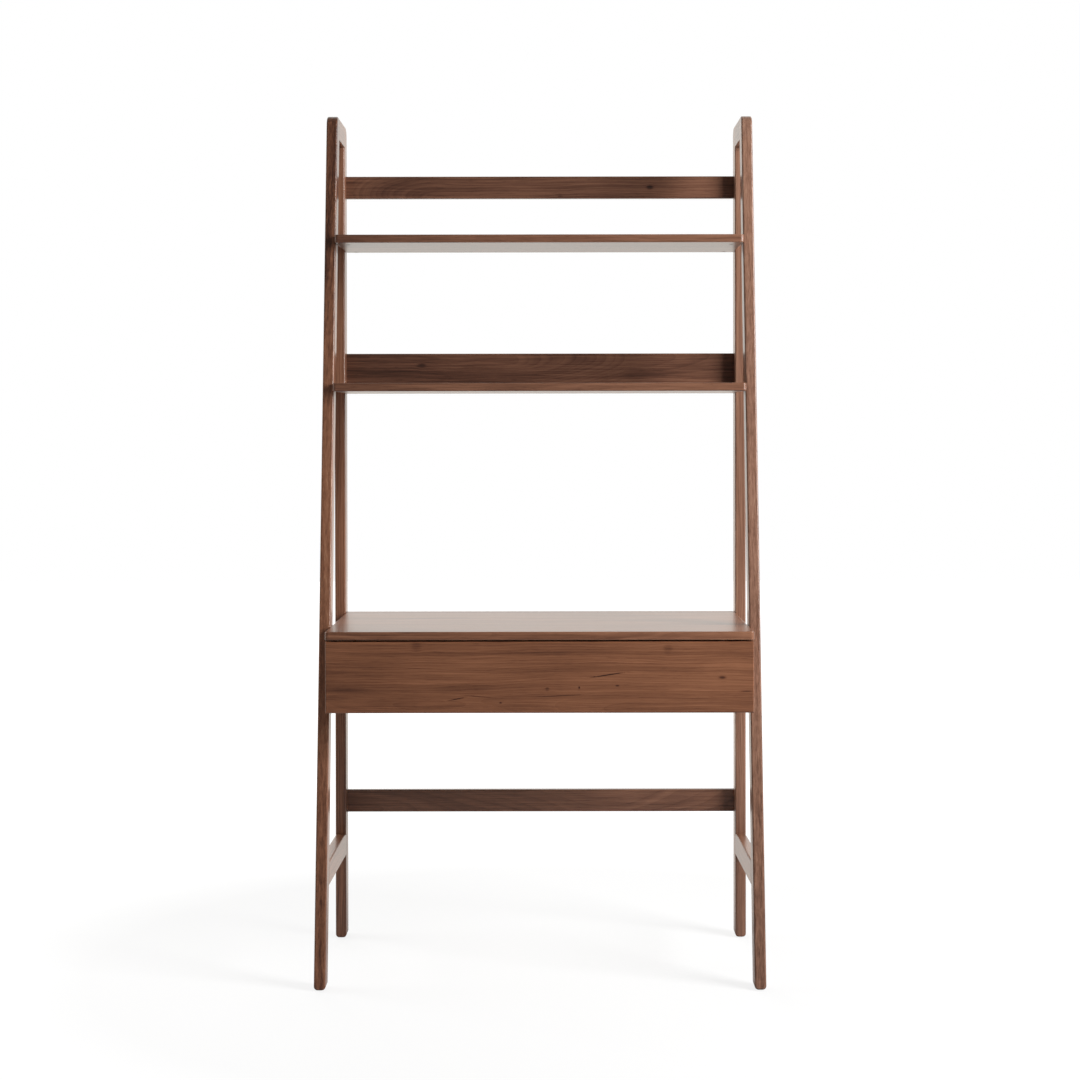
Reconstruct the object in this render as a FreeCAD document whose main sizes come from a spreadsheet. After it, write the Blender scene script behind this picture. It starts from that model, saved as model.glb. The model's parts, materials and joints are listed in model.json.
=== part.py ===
import FreeCAD, Part
import math
import os
import re
import Sketcher
from FreeCAD import Placement, Rotation, Vector

# Ladder desk: two closed side frames with a leaning front leg, two shelves and three
# rails bolted between them, and a desk with one full-width drawer on ball slides.
# Millimetres. +X right, +Z up. The drawer opens towards -Y and the wall is at +Y.
# The origin is on the floor, in the middle of the desk's width and depth.
# Places along Y are written from the wall side, so they are negative inside the desk.

SIZES = [
    # side frames
    ("width", 963, "overall width, across the side frames"),
    ("depth", 533, "overall depth, wall side to front of the desktop"),
    ("height", 1905, "overall height"),
    ("frame_thick", 25, "thickness of the side frames"),
    ("rear_leg_deep", 54, "rear leg, front to back"),
    ("front_leg_deep", 50, "front leg, square across"),
    ("top_run", 220, "wall side to the front leg's face at the full height"),
    ("top_rail_tall", 50, "height of the top rail"),
    ("top_corner", 25, "corner radius of the top rail, seen from the side"),
    ("edge_round", 4, "rounding along the frame pieces"),
    ("foot_round", 8, "rounding across the feet, seen from the front"),
    ("stretcher_tall", 50, "height of the side stretcher"),
    ("stretcher_low", 195, "floor to the side stretcher at the rear leg"),
    ("stretcher_rise", 12, "how much higher its front end sits"),
    ("dowel_wide", 8, "diameter of the frame and rail dowels"),
    ("dowel_sink", 18, "how deep a frame dowel goes into each piece"),
    ("dowel_step", 13, "frame dowels, from the middle of the joint"),
    ("fit", 0.05, "radial clearance of dowels, screws and glide stems"),
    ("glue_room", 1, "free depth beyond the end of a dowel or screw"),
    ("glide_tall", 2, "head of the foot glide, below the wood"),
    ("glide_wide", 10, "diameter of the glide's head"),
    ("glide_stem", 4, "diameter of the glide's stem"),
    ("glide_sink", 12, "length of the glide's stem"),
    # shelves and rails
    ("board_thick", 18, "shelves, desktop, desk sides and drawer front"),
    ("board_corner", 8, "front corner radius of the boards in plan"),
    ("board_ease", 2.5, "rounding along the boards' edges"),
    ("upper_shelf_drop", 294, "top of the frame to the underside of the upper shelf"),
    ("shelf_step", 332, "underside of one shelf to the next"),
    ("shelf_proud", 32, "shelf front, ahead of the leg's face"),
    ("rail_thick", 18, "thickness of the back rails and back panel"),
    ("rail_inset", 4, "back rails, ahead of the wall side"),
    ("rail_tall", 52, "height of the back rails"),
    ("upper_rail_drop", 167, "top of the frame to the underside of the upper back rail"),
    ("lower_rail_low", 292, "floor to the lower back rail"),
    ("panel_tall", 94, "height of the back panel at the middle shelf"),
    ("rail_dowel_step", 16, "rail dowels, above and below the bolt"),
    ("rail_dowel_sink", 12, "rail dowel, depth in the leg"),
    ("rail_dowel_long", 32, "length of a rail dowel"),
    # connector bolts and barrel nuts
    ("bolt_wide", 6, "diameter of the bolts"),
    ("bolt_slack", 0.5, "radial clearance of a bolt in wood"),
    ("thread_gap", 0.1, "radial clearance of a bolt in its nut"),
    ("head_wide", 12, "diameter of a bolt head"),
    ("head_thick", 2.5, "thickness of a bolt head"),
    ("head_sink", 3, "depth of the counterbore"),
    ("head_room", 0.5, "radial clearance of the head in its counterbore"),
    ("bolt_long", 55, "connector bolt, under its head"),
    ("nut_wide", 10, "diameter of a barrel nut"),
    ("nut_long", 13, "length of a barrel nut"),
    ("nut_reach", 25, "barrel nut, from the end of its board"),
    ("shelf_bolt_back", 38, "rear shelf bolts, from the wall side"),
    # desk
    ("desk_high", 765, "floor to the top of the desktop"),
    ("desk_gap", 15, "cord gap between the desktop and the wall side"),
    ("desk_side_tall", 147, "height of a desk side"),
    ("desk_bolt_long", 33, "desk bolt, under its head"),
    ("desk_bolt_step", 22, "desk bolts, from the edges of the desk side"),
    ("insert_wide", 9, "diameter of a threaded insert"),
    ("insert_long", 12, "length of a threaded insert"),
    ("desk_dowel_step", 35, "desk dowels, from the edges of the desk back"),
    ("bracket_leg", 24, "length of each leg of a corner bracket"),
    ("bracket_wide", 20, "width of a corner bracket"),
    ("bracket_thick", 2, "thickness of a corner bracket"),
    ("bracket_in", 70, "corner brackets, from the front and back of the desk's inside"),
    ("screw_wide", 3.2, "diameter of the small screws"),
    ("screw_head", 6, "head diameter of the small screws"),
    ("screw_long", 14, "length of the small screws under the head"),
    # drawer
    ("front_recess", 2, "drawer front, behind the desktop's edge"),
    ("front_side_gap", 1, "drawer front, inside the frames' inner faces"),
    ("front_top_gap", 3, "gap between the desktop and the drawer front"),
    ("front_tall", 152, "height of the drawer front"),
    ("bumper_gap", 2, "gap behind the closed drawer front"),
    ("bumper_wide", 10, "diameter of a bumper"),
    ("bumper_thick", 1.7, "thickness of a bumper"),
    ("bumper_down", 14, "bumper, below the top of the drawer front"),
    ("drawer_low", 606, "floor to the drawer box"),
    ("drawer_tall", 100, "height of the drawer box"),
    ("drawer_wall", 12, "thickness of the drawer box's walls"),
    ("drawer_room", 30, "free depth behind the drawer box"),
    ("drawer_bottom_thick", 5, "thickness of the drawer bottom"),
    ("drawer_bottom_up", 8, "drawer bottom, above the box's lower edge"),
    ("groove_deep", 6, "depth of the groove for the bottom"),
    ("groove_gap", 0.2, "clearance of the bottom in its groove"),
    ("box_dowel_wide", 6, "diameter of the drawer box's dowels"),
    ("box_dowel_sink", 8, "box dowel, depth in the side"),
    ("box_dowel_long", 28, "length of a box dowel"),
    ("box_dowel_step", 25, "box dowels, from the box's lower and upper edge"),
    ("face_screw_side", 300, "face screws, from the middle of the drawer"),
    ("face_screw_wide", 4, "diameter of a face screw"),
    ("face_screw_head", 8, "head diameter of a face screw"),
    ("face_screw_long", 24, "length of a face screw under its head"),
    ("face_screw_cap", 1.8, "thickness of a face screw's head"),
    ("pull_wide", 300, "length of the finger groove behind the drawer front"),
    ("pull_tall", 10, "height of the finger groove"),
    ("pull_deep", 9, "depth of the finger groove"),
    # ball slides
    ("slide_high", 655, "floor to the middle of the slides"),
    ("slide_setback", 2, "slides, behind the front of the desk sides"),
    ("slide_room", 26, "free depth behind the slides"),
    ("slide_thick", 12.5, "thickness of a closed slide"),
    ("slide_metal", 1.2, "sheet thickness of the slide members"),
    ("outer_tall", 45, "height of the cabinet member"),
    ("outer_deep", 9.5, "reach of the cabinet member's flanges"),
    ("middle_tall", 33, "height of the middle member"),
    ("middle_in", 3, "middle member, from the desk side"),
    ("inner_tall", 23, "height of the drawer member"),
    ("inner_deep", 7.1, "reach of the drawer member's flanges"),
    ("cage_metal", 0.6, "sheet thickness of a ball cage"),
    ("cage_long", 200, "length of a ball cage"),
    ("outer_cage_tip", 9, "outer cage flange, from the desk side"),
    ("inner_cage_tip", 10, "inner cage flange, from the desk side"),
    ("outer_ball_in", 6.3, "outer balls, from the desk side"),
    ("inner_ball_in", 8, "inner balls, from the desk side"),
    ("ball_gap", 0.05, "clearance of a ball between its races"),
    ("cage_gap", 0.1, "radial clearance of a ball in its cage"),
    ("ball_step", 45, "balls, one to the next"),
    ("slide_screw_end", 35, "slide screws, from the ends of the member"),
    ("inner_screw_long", 10, "drawer member screws under the head"),
    # wall hangers
    ("hanger_in", 76.5, "keyhole hangers, from the ends of the upper back rail"),
    ("hanger_wide", 18, "width of a keyhole hanger"),
    ("hanger_tall", 38, "height of a keyhole hanger"),
    ("hanger_thick", 2, "thickness of a keyhole hanger"),
    ("hanger_gap", 0.2, "clearance of the hanger in its recess"),
    ("keyhole_entry", 9, "diameter of the keyhole's entry"),
    ("keyhole_slot", 4.5, "width of the keyhole's slot"),
    ("keyhole_run", 9, "entry to the end of the slot"),
    ("keyhole_room", 8, "depth of the pocket for the wall screw's head"),
    ("hanger_screw_step", 15, "hanger screws, from the hanger's middle"),
    ("hanger_screw_long", 11, "hanger screws under the head"),
]
BALLS_PER_ROW = 5

doc = FreeCAD.newDocument("LadderDesk")
sheet = doc.addObject("Spreadsheet::Sheet", "dims")
for row, (alias, amount, meaning) in enumerate(SIZES, 1):
    sheet.set(f"A{row}", meaning)
    sheet.set(f"B{row}", str(amount))
    sheet.setAlias(f"B{row}", alias)
doc.recompute()

ALIASES = {alias for alias, amount, meaning in SIZES}
nodes = []

# Places and sizes that several pieces share, as expressions of the sheet's sizes.
INNER = "(width / 2 - frame_thick)"
LEAN = "((depth - top_run) / height)"
LEG_RUN = f"(front_leg_deep * sqrt(1 + {LEAN} ^ 2))"
LEG_TOP = "(height - top_rail_tall)"
LEG_MID_REAR = "(-rear_leg_deep / 2)"
RAIL_FRONT = "(-rail_inset - rail_thick)"
RAIL_MID = "(-rail_inset - rail_thick / 2)"
DESK_LOW = "(desk_high - board_thick)"
DESK_SIDE_LOW = f"({DESK_LOW} - desk_side_tall)"
FACE_FRONT = "(-depth + front_recess)"
FACE_BACK = f"({FACE_FRONT} + board_thick)"
CASE_FRONT = f"({FACE_BACK} + bumper_gap)"
CASE_INNER = f"({INNER} - board_thick)"
BOX_OUTER = f"({CASE_INNER} - slide_thick)"
BOX_INNER = f"({BOX_OUTER} - drawer_wall)"
CASE_BACK = "(-desk_gap - board_thick)"
BOX_BACK = f"({CASE_BACK} - drawer_room)"
SLIDE_FRONT = f"({CASE_FRONT} + slide_setback)"
SLIDE_BACK = f"({CASE_BACK} - slide_room)"
SLIDE_LONG = f"({SLIDE_BACK} - {SLIDE_FRONT})"
SLIDE_MIDDLE = f"(({SLIDE_FRONT} + {SLIDE_BACK}) / 2)"
UPPER_SHELF_LOW = "(height - upper_shelf_drop)"
MIDDLE_SHELF_LOW = f"({UPPER_SHELF_LOW} - shelf_step)"
UPPER_RAIL_LOW = "(height - upper_rail_drop)"
HANGER_SIDE = f"({INNER} - hanger_in)"
SIDES = {"left": "-1", "right": "1"}


def leg_face(high):
    """Front face of the leaning leg at a height, from the wall side."""
    return f"(-depth + {LEAN} * {high})"


def leg_mid(high):
    """Middle of the leaning leg at a height, from the wall side."""
    return f"({leg_face(high)} + {LEG_RUN} / 2)"


def leg_back(high):
    """Rear face of the leaning leg at a height, from the wall side."""
    return f"({leg_face(high)} + {LEG_RUN})"


def bound(text):
    """The expression text with each size's name turned into a reference to the sheet."""
    return re.sub(r"[a-z_]+", lambda word: f"dims.{word[0]}" if word[0] in ALIASES else word[0], text)


def tie(thing, prop, text):
    thing.setExpression(prop, bound(text))


# ---- sketches, bodies and their features ----

def new_body(name, left_face="0"):
    """An empty body whose own Y starts at the wall side."""
    body = doc.addObject("PartDesign::Body", name)
    body.Label = name
    tie(body, "Placement.Base.x", left_face)
    tie(body, "Placement.Base.y", "depth / 2")
    nodes.append(body)
    return body


def new_sketch(body, role, at):
    """A sketch parallel to an origin plane, at a place along the plane's axis."""
    drawing = body.newObject("Sketcher::SketchObject", "Sketch")
    plane = next(item for item in body.Origin.OriginFeatures if item.Role == role)
    drawing.AttachmentSupport = [(plane, "")]
    drawing.MapMode = "FlatFace"
    along = f"-({at})" if role == "XZ_Plane" else at
    tie(drawing, ".AttachmentOffset.Base.z", along)
    return drawing


def pin_point(drawing, piece, point, across, up):
    for kind, amount in (("DistanceX", across), ("DistanceY", up)):
        index = drawing.addConstraint(Sketcher.Constraint(kind, -1, 1, piece, point, 1.0))
        tie(drawing, f"Constraints[{index}]", amount)


def draw_outline(drawing, points):
    """A closed outline of straight lines, each corner held by its two places."""
    first = drawing.GeometryCount
    corners = [Vector(math.cos(turn), math.sin(turn), 0) * 10
               for turn in (2 * math.pi * i / len(points) for i in range(len(points)))]
    for start, end in zip(corners, corners[1:] + corners[:1]):
        drawing.addGeometry(Part.LineSegment(start, end), False)
    for i, (across, up) in enumerate(points):
        after = (i + 1) % len(points)
        drawing.addConstraint(Sketcher.Constraint("Coincident", first + i, 2, first + after, 1))
        pin_point(drawing, first + i, 1, across, up)


def draw_circle(drawing, across, up, radius):
    circle = Part.Circle(Vector(drawing.GeometryCount * 5, 0, 0), Vector(0, 0, 1), 1)
    index = drawing.addGeometry(circle, False)
    pin_point(drawing, index, 3, across, up)
    round_size = drawing.addConstraint(Sketcher.Constraint("Radius", index, 1.0))
    tie(drawing, f"Constraints[{round_size}]", radius)


def rectangle(low_across, high_across, low_up, high_up):
    return [(low_across, low_up), (high_across, low_up), (high_across, high_up), (low_across, high_up)]


def pad(body, drawing, long):
    feature = body.newObject("PartDesign::Pad", "Pad")
    feature.Profile = drawing
    tie(feature, "Length", long)
    doc.recompute()
    return feature


def cut(body, drawing, deep, toward):
    """A pocket from the sketch towards one side, which has to remove wood or metal."""
    before = body.Shape.Volume
    feature = body.newObject("PartDesign::Pocket", "Pocket")
    feature.Profile = drawing
    feature.Reversed = toward in ("+x", "-y", "+z")
    tie(feature, "Length", deep)
    doc.recompute()
    if not body.Shape.Volume < before - 0.01:
        raise RuntimeError(f"a pocket of {body.Label} cuts nothing")


def drill(body, role, at, places, radius, deep, toward):
    """Round holes of one size from a plane towards one side."""
    drawing = new_sketch(body, role, at)
    for across, up in places:
        draw_circle(drawing, across, up, radius)
    cut(body, drawing, deep, toward)


def fillet(body, radius, wanted):
    """Rounding of every edge of the body for which wanted is true."""
    base = body.Tip
    feature = body.newObject("PartDesign::Fillet", "Fillet")
    feature.Base = (base, [f"Edge{i}" for i, edge in enumerate(base.Shape.Edges, 1) if wanted(edge)])
    tie(feature, "Radius", radius)
    doc.recompute()


def runs_along(edge, axis):
    return edge.Curve.TypeId == "Part::GeomLine" and abs(edge.Curve.Direction.dot(axis)) > 0.999


X_AXIS = Vector(1, 0, 0)
Y_AXIS = Vector(0, 1, 0)
Z_AXIS = Vector(0, 0, 1)


def upright_at_front(edge, box):
    return runs_along(edge, Z_AXIS) and edge.CenterOfMass.y < box.YMin + 1


def level_at_front(edge, box):
    return runs_along(edge, X_AXIS) and edge.CenterOfMass.y < box.YMin + 1


def board(name, low_x, high_x, low_y, high_y, low_z, thick):
    """A plain board: a rectangle in plan, padded upwards."""
    body = new_body(name)
    drawing = new_sketch(body, "XY_Plane", low_z)
    draw_outline(drawing, rectangle(low_x, high_x, low_y, high_y))
    pad(body, drawing, thick)
    return body


def round_front(body):
    """Rounds the two front corners in plan, then the upper and lower edges."""
    box = body.Tip.Shape.BoundBox
    fillet(body, "board_corner", lambda edge: upright_at_front(edge, box))
    fillet(body, "board_ease", lambda edge: level_at_front(edge, box))


# ---- turned pieces and groups of them ----

TURNS = {"x": X_AXIS, "y": Y_AXIS, "z": Z_AXIS}


def put(thing, place, toward="+z"):
    """Places a primitive, with its own Z turned towards one side."""
    axis = TURNS[toward[1]] * (-1 if toward[0] == "-" else 1)
    thing.Placement = Placement(Vector(), Rotation(Z_AXIS, axis))
    across, along, up = place
    tie(thing, "Placement.Base.x", across)
    tie(thing, "Placement.Base.y", f"depth / 2 + {along}")
    tie(thing, "Placement.Base.z", up)
    return thing


def rod(place, toward, radius, long):
    thing = doc.addObject("Part::Cylinder", "Rod")
    tie(thing, "Radius", radius)
    tie(thing, "Height", long)
    return put(thing, place, toward)


def moved(place, toward, amount):
    """A place shifted by an amount towards one side."""
    index = "xyz".index(toward[1])
    shifted = list(place)
    shifted[index] = f"({place[index]} {toward[0]} {amount})"
    return tuple(shifted)


def headed(place, toward, head_wide, head_thick, wide, long):
    """A bolt or screw as one solid: its head starts at place, its shank follows."""
    fused = doc.addObject("Part::MultiFuse", "Screw")
    fused.Shapes = [
        rod(place, toward, f"{head_wide} / 2", head_thick),
        rod(moved(place, toward, head_thick), toward, f"{wide} / 2", long),
    ]
    return fused


def group(name, members):
    """Identical pieces that share one node, each its own solid."""
    thing = doc.addObject("Part::Compound", name)
    thing.Label = name
    thing.Links = members
    nodes.append(thing)
    return thing


def plus(side):
    """The direction along X that points out of the desk on one side."""
    return "-x" if side == "left" else "+x"


def minus(side):
    return "+x" if side == "left" else "-x"


# ---- where the fasteners are ----

SHELF_LOWS = [UPPER_SHELF_LOW, MIDDLE_SHELF_LOW]
RAILS = {
    "upper_back_rail": (UPPER_RAIL_LOW, "rail_tall"),
    "lower_back_rail": ("lower_rail_low", "rail_tall"),
    "middle_back_panel": (MIDDLE_SHELF_LOW, "panel_tall"),
}
shelf_mids = [f"({low} + board_thick / 2)" for low in SHELF_LOWS]
rail_mids = {name: f"({low} + {tall} / 2)" for name, (low, tall) in RAILS.items()}
desk_bolt_highs = [f"({DESK_SIDE_LOW} + desk_bolt_step)", f"({DESK_LOW} - desk_bolt_step)"]

front_bolts = [(leg_mid(high), high) for high in shelf_mids + desk_bolt_highs]
rear_bolts = [("-shelf_bolt_back", high) for high in shelf_mids]
rear_bolts += [(RAIL_MID, high) for high in rail_mids.values()]
rear_bolts += [(LEG_MID_REAR, high) for high in desk_bolt_highs]
rail_dowels = [(RAIL_MID, f"({high} {sign} rail_dowel_step)")
               for high in rail_mids.values() for sign in "+-"]

STRETCHER_FRONT = "(stretcher_low + stretcher_rise)"
STRETCHER_JOINT = leg_back(f"({STRETCHER_FRONT} + stretcher_tall / 2)")
rear_stretcher_dowels = [f"(stretcher_low + stretcher_tall / 2 {sign} dowel_step)" for sign in "+-"]
front_stretcher_dowels = [f"({STRETCHER_FRONT} + stretcher_tall / 2 {sign} dowel_step)" for sign in "+-"]
top_dowels_rear = [f"({LEG_MID_REAR} {sign} dowel_step)" for sign in "+-"]
top_dowels_front = [f"({leg_mid(LEG_TOP)} {sign} dowel_step)" for sign in "+-"]
glide_places = [LEG_MID_REAR, leg_mid("glide_tall")]


# ---- side frames ----

def leg(name, side, points, bolts):
    """A leg from the floor glide to the top rail, with its bolt holes."""
    body = new_body(name, "-width / 2" if side == "left" else INNER)
    drawing = new_sketch(body, "YZ_Plane", "0")
    draw_outline(drawing, points)
    pad(body, drawing, "frame_thick")
    box = body.Tip.Shape.BoundBox
    fillet(body, "foot_round", lambda edge: runs_along(edge, Y_AXIS) and edge.CenterOfMass.z < box.ZMin + 1)
    fillet(body, "edge_round", lambda edge: edge.Length > box.ZLength / 2)
    drill(body, "YZ_Plane", "frame_thick", bolts, "bolt_wide / 2 + bolt_slack", "frame_thick", "-x")
    face = "head_sink" if side == "left" else "frame_thick - head_sink"
    drill(body, "YZ_Plane", face, bolts, "head_wide / 2 + head_room", "head_sink", plus(side))
    return body


def bore_up(body, along, high, wide, deep):
    """Holes in the middle of the frame's thickness, from a height upwards."""
    places = [("frame_thick / 2", y) for y in along]
    drill(body, "XY_Plane", high, places, f"{wide} / 2 + fit", deep, "+z")


DOWEL_ROOM = "(dowel_sink + glue_room)"


def rear_leg(side):
    body = leg(f"rear_leg_{side}", side, rectangle("-rear_leg_deep", "0", "glide_tall", LEG_TOP), rear_bolts)
    inner = "frame_thick" if side == "left" else "0"
    drill(body, "YZ_Plane", inner, rail_dowels, "dowel_wide / 2 + fit", "rail_dowel_sink", plus(side))
    places = [("frame_thick / 2", high) for high in rear_stretcher_dowels]
    drill(body, "XZ_Plane", "-rear_leg_deep", places, "dowel_wide / 2 + fit", DOWEL_ROOM, "+y")
    bore_up(body, top_dowels_rear, f"{LEG_TOP} - {DOWEL_ROOM}", "dowel_wide", f"{DOWEL_ROOM} + 1")
    bore_up(body, glide_places[:1], "0", "glide_stem", "glide_tall + glide_sink + glue_room")


def front_leg(side):
    outline = [
        (leg_face("glide_tall"), "glide_tall"),
        (leg_back("glide_tall"), "glide_tall"),
        (leg_back(LEG_TOP), LEG_TOP),
        (leg_face(LEG_TOP), LEG_TOP),
    ]
    body = leg(f"front_leg_{side}", side, outline, front_bolts)
    places = [("frame_thick / 2", high) for high in front_stretcher_dowels]
    drill(body, "XZ_Plane", f"{STRETCHER_JOINT} - {DOWEL_ROOM}", places, "dowel_wide / 2 + fit",
          f"{DOWEL_ROOM} + stretcher_tall", "+y")
    bore_up(body, top_dowels_front, f"{LEG_TOP} - {DOWEL_ROOM}", "dowel_wide", f"{DOWEL_ROOM} + 1")
    bore_up(body, glide_places[1:], "0", "glide_stem", "glide_tall + glide_sink + glue_room")


def top_rail(side):
    """The rail across the tops of both legs, with its rounded outer corners."""
    body = new_body(f"top_rail_{side}", "-width / 2" if side == "left" else INNER)
    drawing = new_sketch(body, "YZ_Plane", "0")
    draw_outline(drawing, [
        (leg_face(LEG_TOP), LEG_TOP),
        ("0", LEG_TOP),
        ("0", "height"),
        ("-top_run", "height"),
    ])
    pad(body, drawing, "frame_thick")
    box = body.Tip.Shape.BoundBox
    fillet(body, "top_corner", lambda edge: runs_along(edge, X_AXIS) and edge.CenterOfMass.z > box.ZMax - 1)
    fillet(body, "edge_round", lambda edge: edge.BoundBox.XLength < 0.01 and edge.CenterOfMass.z > box.ZMin + 1)
    places = top_dowels_rear + top_dowels_front
    bore_up(body, places, f"{LEG_TOP} - 1", "dowel_wide", f"{DOWEL_ROOM} + 1")


def side_stretcher(side):
    """The low rail between the legs, whose front end follows the leaning leg."""
    body = new_body(f"side_stretcher_{side}", "-width / 2" if side == "left" else INNER)
    drawing = new_sketch(body, "YZ_Plane", "0")
    front_high = f"({STRETCHER_FRONT} + stretcher_tall)"
    draw_outline(drawing, [
        (leg_back(STRETCHER_FRONT), STRETCHER_FRONT),
        ("-rear_leg_deep", "stretcher_low"),
        ("-rear_leg_deep", "stretcher_low + stretcher_tall"),
        (leg_back(front_high), front_high),
    ])
    pad(body, drawing, "frame_thick")
    box = body.Tip.Shape.BoundBox
    fillet(body, "edge_round", lambda edge: edge.Length > box.YLength / 2)
    places = [("frame_thick / 2", high) for high in rear_stretcher_dowels]
    drill(body, "XZ_Plane", "-rear_leg_deep", places, "dowel_wide / 2 + fit", DOWEL_ROOM, "-y")
    places = [("frame_thick / 2", high) for high in front_stretcher_dowels]
    drill(body, "XZ_Plane", f"{STRETCHER_JOINT} + {DOWEL_ROOM}", places, "dowel_wide / 2 + fit",
          f"{DOWEL_ROOM} + stretcher_tall", "-y")


def frame_dowels(side):
    """Eight dowels: two in each joint of a side frame."""
    middle = f"{SIDES[side]} * (width / 2 - frame_thick / 2)"
    long = "dowel_sink * 2"
    members = []
    for along in top_dowels_rear + top_dowels_front:
        members.append(rod((middle, along, f"{LEG_TOP} - dowel_sink"), "+z", "dowel_wide / 2", long))
    for high in rear_stretcher_dowels:
        members.append(rod((middle, "(-rear_leg_deep - dowel_sink)", high), "+y", "dowel_wide / 2", long))
    for high in front_stretcher_dowels:
        members.append(rod((middle, f"({STRETCHER_JOINT} - dowel_sink)", high), "+y", "dowel_wide / 2", long))
    group(f"frame_dowels_{side}", members)


def foot_glides():
    members = []
    for sign in SIDES.values():
        for along in glide_places:
            place = (f"{sign} * (width / 2 - frame_thick / 2)", along, "0")
            members.append(headed(place, "+z", "glide_wide", "glide_tall", "glide_stem", "glide_sink"))
    group("foot_glides", members)


# ---- shelves and rails between the frames ----

BOLT_ROOM = "(bolt_long - frame_thick + head_sink + glue_room)"


def bolt_ends(body, places):
    """Holes for the connector bolts, in from both ends of a board."""
    for side, sign in SIDES.items():
        drill(body, "YZ_Plane", f"{sign} * {INNER}", places, "bolt_wide / 2 + bolt_slack", BOLT_ROOM, minus(side))


def shelf(name, low):
    """A shelf between the frames; its front stands ahead of the leaning legs."""
    middle = f"({low} + board_thick / 2)"
    body = board(name, f"-{INNER}", INNER, f"{leg_face(middle)} - shelf_proud", RAIL_FRONT, low, "board_thick")
    round_front(body)
    along = [leg_mid(middle), "-shelf_bolt_back"]
    bolt_ends(body, [(y, middle) for y in along])
    nuts = [(f"{sign} * ({INNER} - nut_reach)", y) for sign in SIDES.values() for y in along]
    drill(body, "XY_Plane", low, nuts, "nut_wide / 2 + fit", "(board_thick + nut_long) / 2", "+z")


def back_rail(name):
    """A rail between the rear legs, held by one bolt and two dowels at each end."""
    low, tall = RAILS[name]
    body = board(name, f"-{INNER}", INNER, RAIL_FRONT, "-rail_inset", low, tall)
    fillet(body, "board_ease", lambda edge: runs_along(edge, X_AXIS))
    high = rail_mids[name]
    bolt_ends(body, [(RAIL_MID, high)])
    dowels = [(RAIL_MID, f"{high} {sign} rail_dowel_step") for sign in "+-"]
    for side, sign in SIDES.items():
        drill(body, "YZ_Plane", f"{sign} * {INNER}", dowels, "dowel_wide / 2 + fit",
              "rail_dowel_long - rail_dowel_sink + glue_room", minus(side))
    nuts = [(f"{sign} * ({INNER} - nut_reach)", high) for sign in SIDES.values()]
    drill(body, "XZ_Plane", "-rail_inset", nuts, "nut_wide / 2 + fit", "(rail_thick + nut_long) / 2", "-y")
    return body


def connector_bolts(name, places, long):
    """Bolts through the legs, with their heads sunk into the outer faces."""
    members = []
    for side, sign in SIDES.items():
        for along, high in places:
            place = (f"{sign} * (width / 2 - head_sink + head_thick)", along, high)
            members.append(headed(place, minus(side), "head_wide", "head_thick", "bolt_wide", long))
    group(name, members)


def barrel_nut(place, toward):
    """A cross dowel: a short cylinder with the bolt's hole through its middle."""
    barrel = rod(moved(place, toward, "(-nut_long / 2)"), toward, "nut_wide / 2", "nut_long")
    hole = rod(moved(place, "-x", "nut_wide"), "+x", "bolt_wide / 2 + thread_gap", "nut_wide * 2")
    nut = doc.addObject("Part::Cut", "Nut")
    nut.Base = barrel
    nut.Tool = hole
    return nut


def barrel_nuts(name, places, toward):
    members = [barrel_nut((f"{sign} * ({INNER} - nut_reach)", along, high), toward)
               for sign in SIDES.values() for along, high in places]
    group(name, members)


def rail_dowel_group():
    members = []
    for side, sign in SIDES.items():
        for along, high in rail_dowels:
            place = (f"{sign} * ({INNER} + rail_dowel_sink)", along, high)
            members.append(rod(place, minus(side), "dowel_wide / 2", "rail_dowel_long"))
    group("rail_dowels", members)


# ---- wall hangers in the back of the upper rail ----

def hanger_recesses(rail):
    """A flat recess for each keyhole hanger, and a deeper pocket behind its keyhole."""
    middle = rail_mids["upper_back_rail"]
    for sign in SIDES.values():
        x = f"{sign} * {HANGER_SIDE}"
        recess = new_sketch(rail, "XZ_Plane", "-rail_inset")
        draw_outline(recess, rectangle(
            f"{x} - hanger_wide / 2 - hanger_gap", f"{x} + hanger_wide / 2 + hanger_gap",
            f"{middle} - hanger_tall / 2 - hanger_gap", f"{middle} + hanger_tall / 2 + hanger_gap"))
        cut(rail, recess, "hanger_thick", "-y")
        pocket = new_sketch(rail, "XZ_Plane", "-rail_inset - hanger_thick")
        draw_outline(pocket, rectangle(
            f"{x} - keyhole_entry / 2", f"{x} + keyhole_entry / 2",
            f"{middle} - keyhole_entry", f"{middle} + keyhole_run"))
        cut(rail, pocket, "keyhole_room", "-y")
        screws = [(x, f"{middle} {way} hanger_screw_step") for way in "+-"]
        drill(rail, "XZ_Plane", "-rail_inset - hanger_thick", screws, "screw_wide / 2 + fit",
              "hanger_screw_long + glue_room", "-y")


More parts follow.
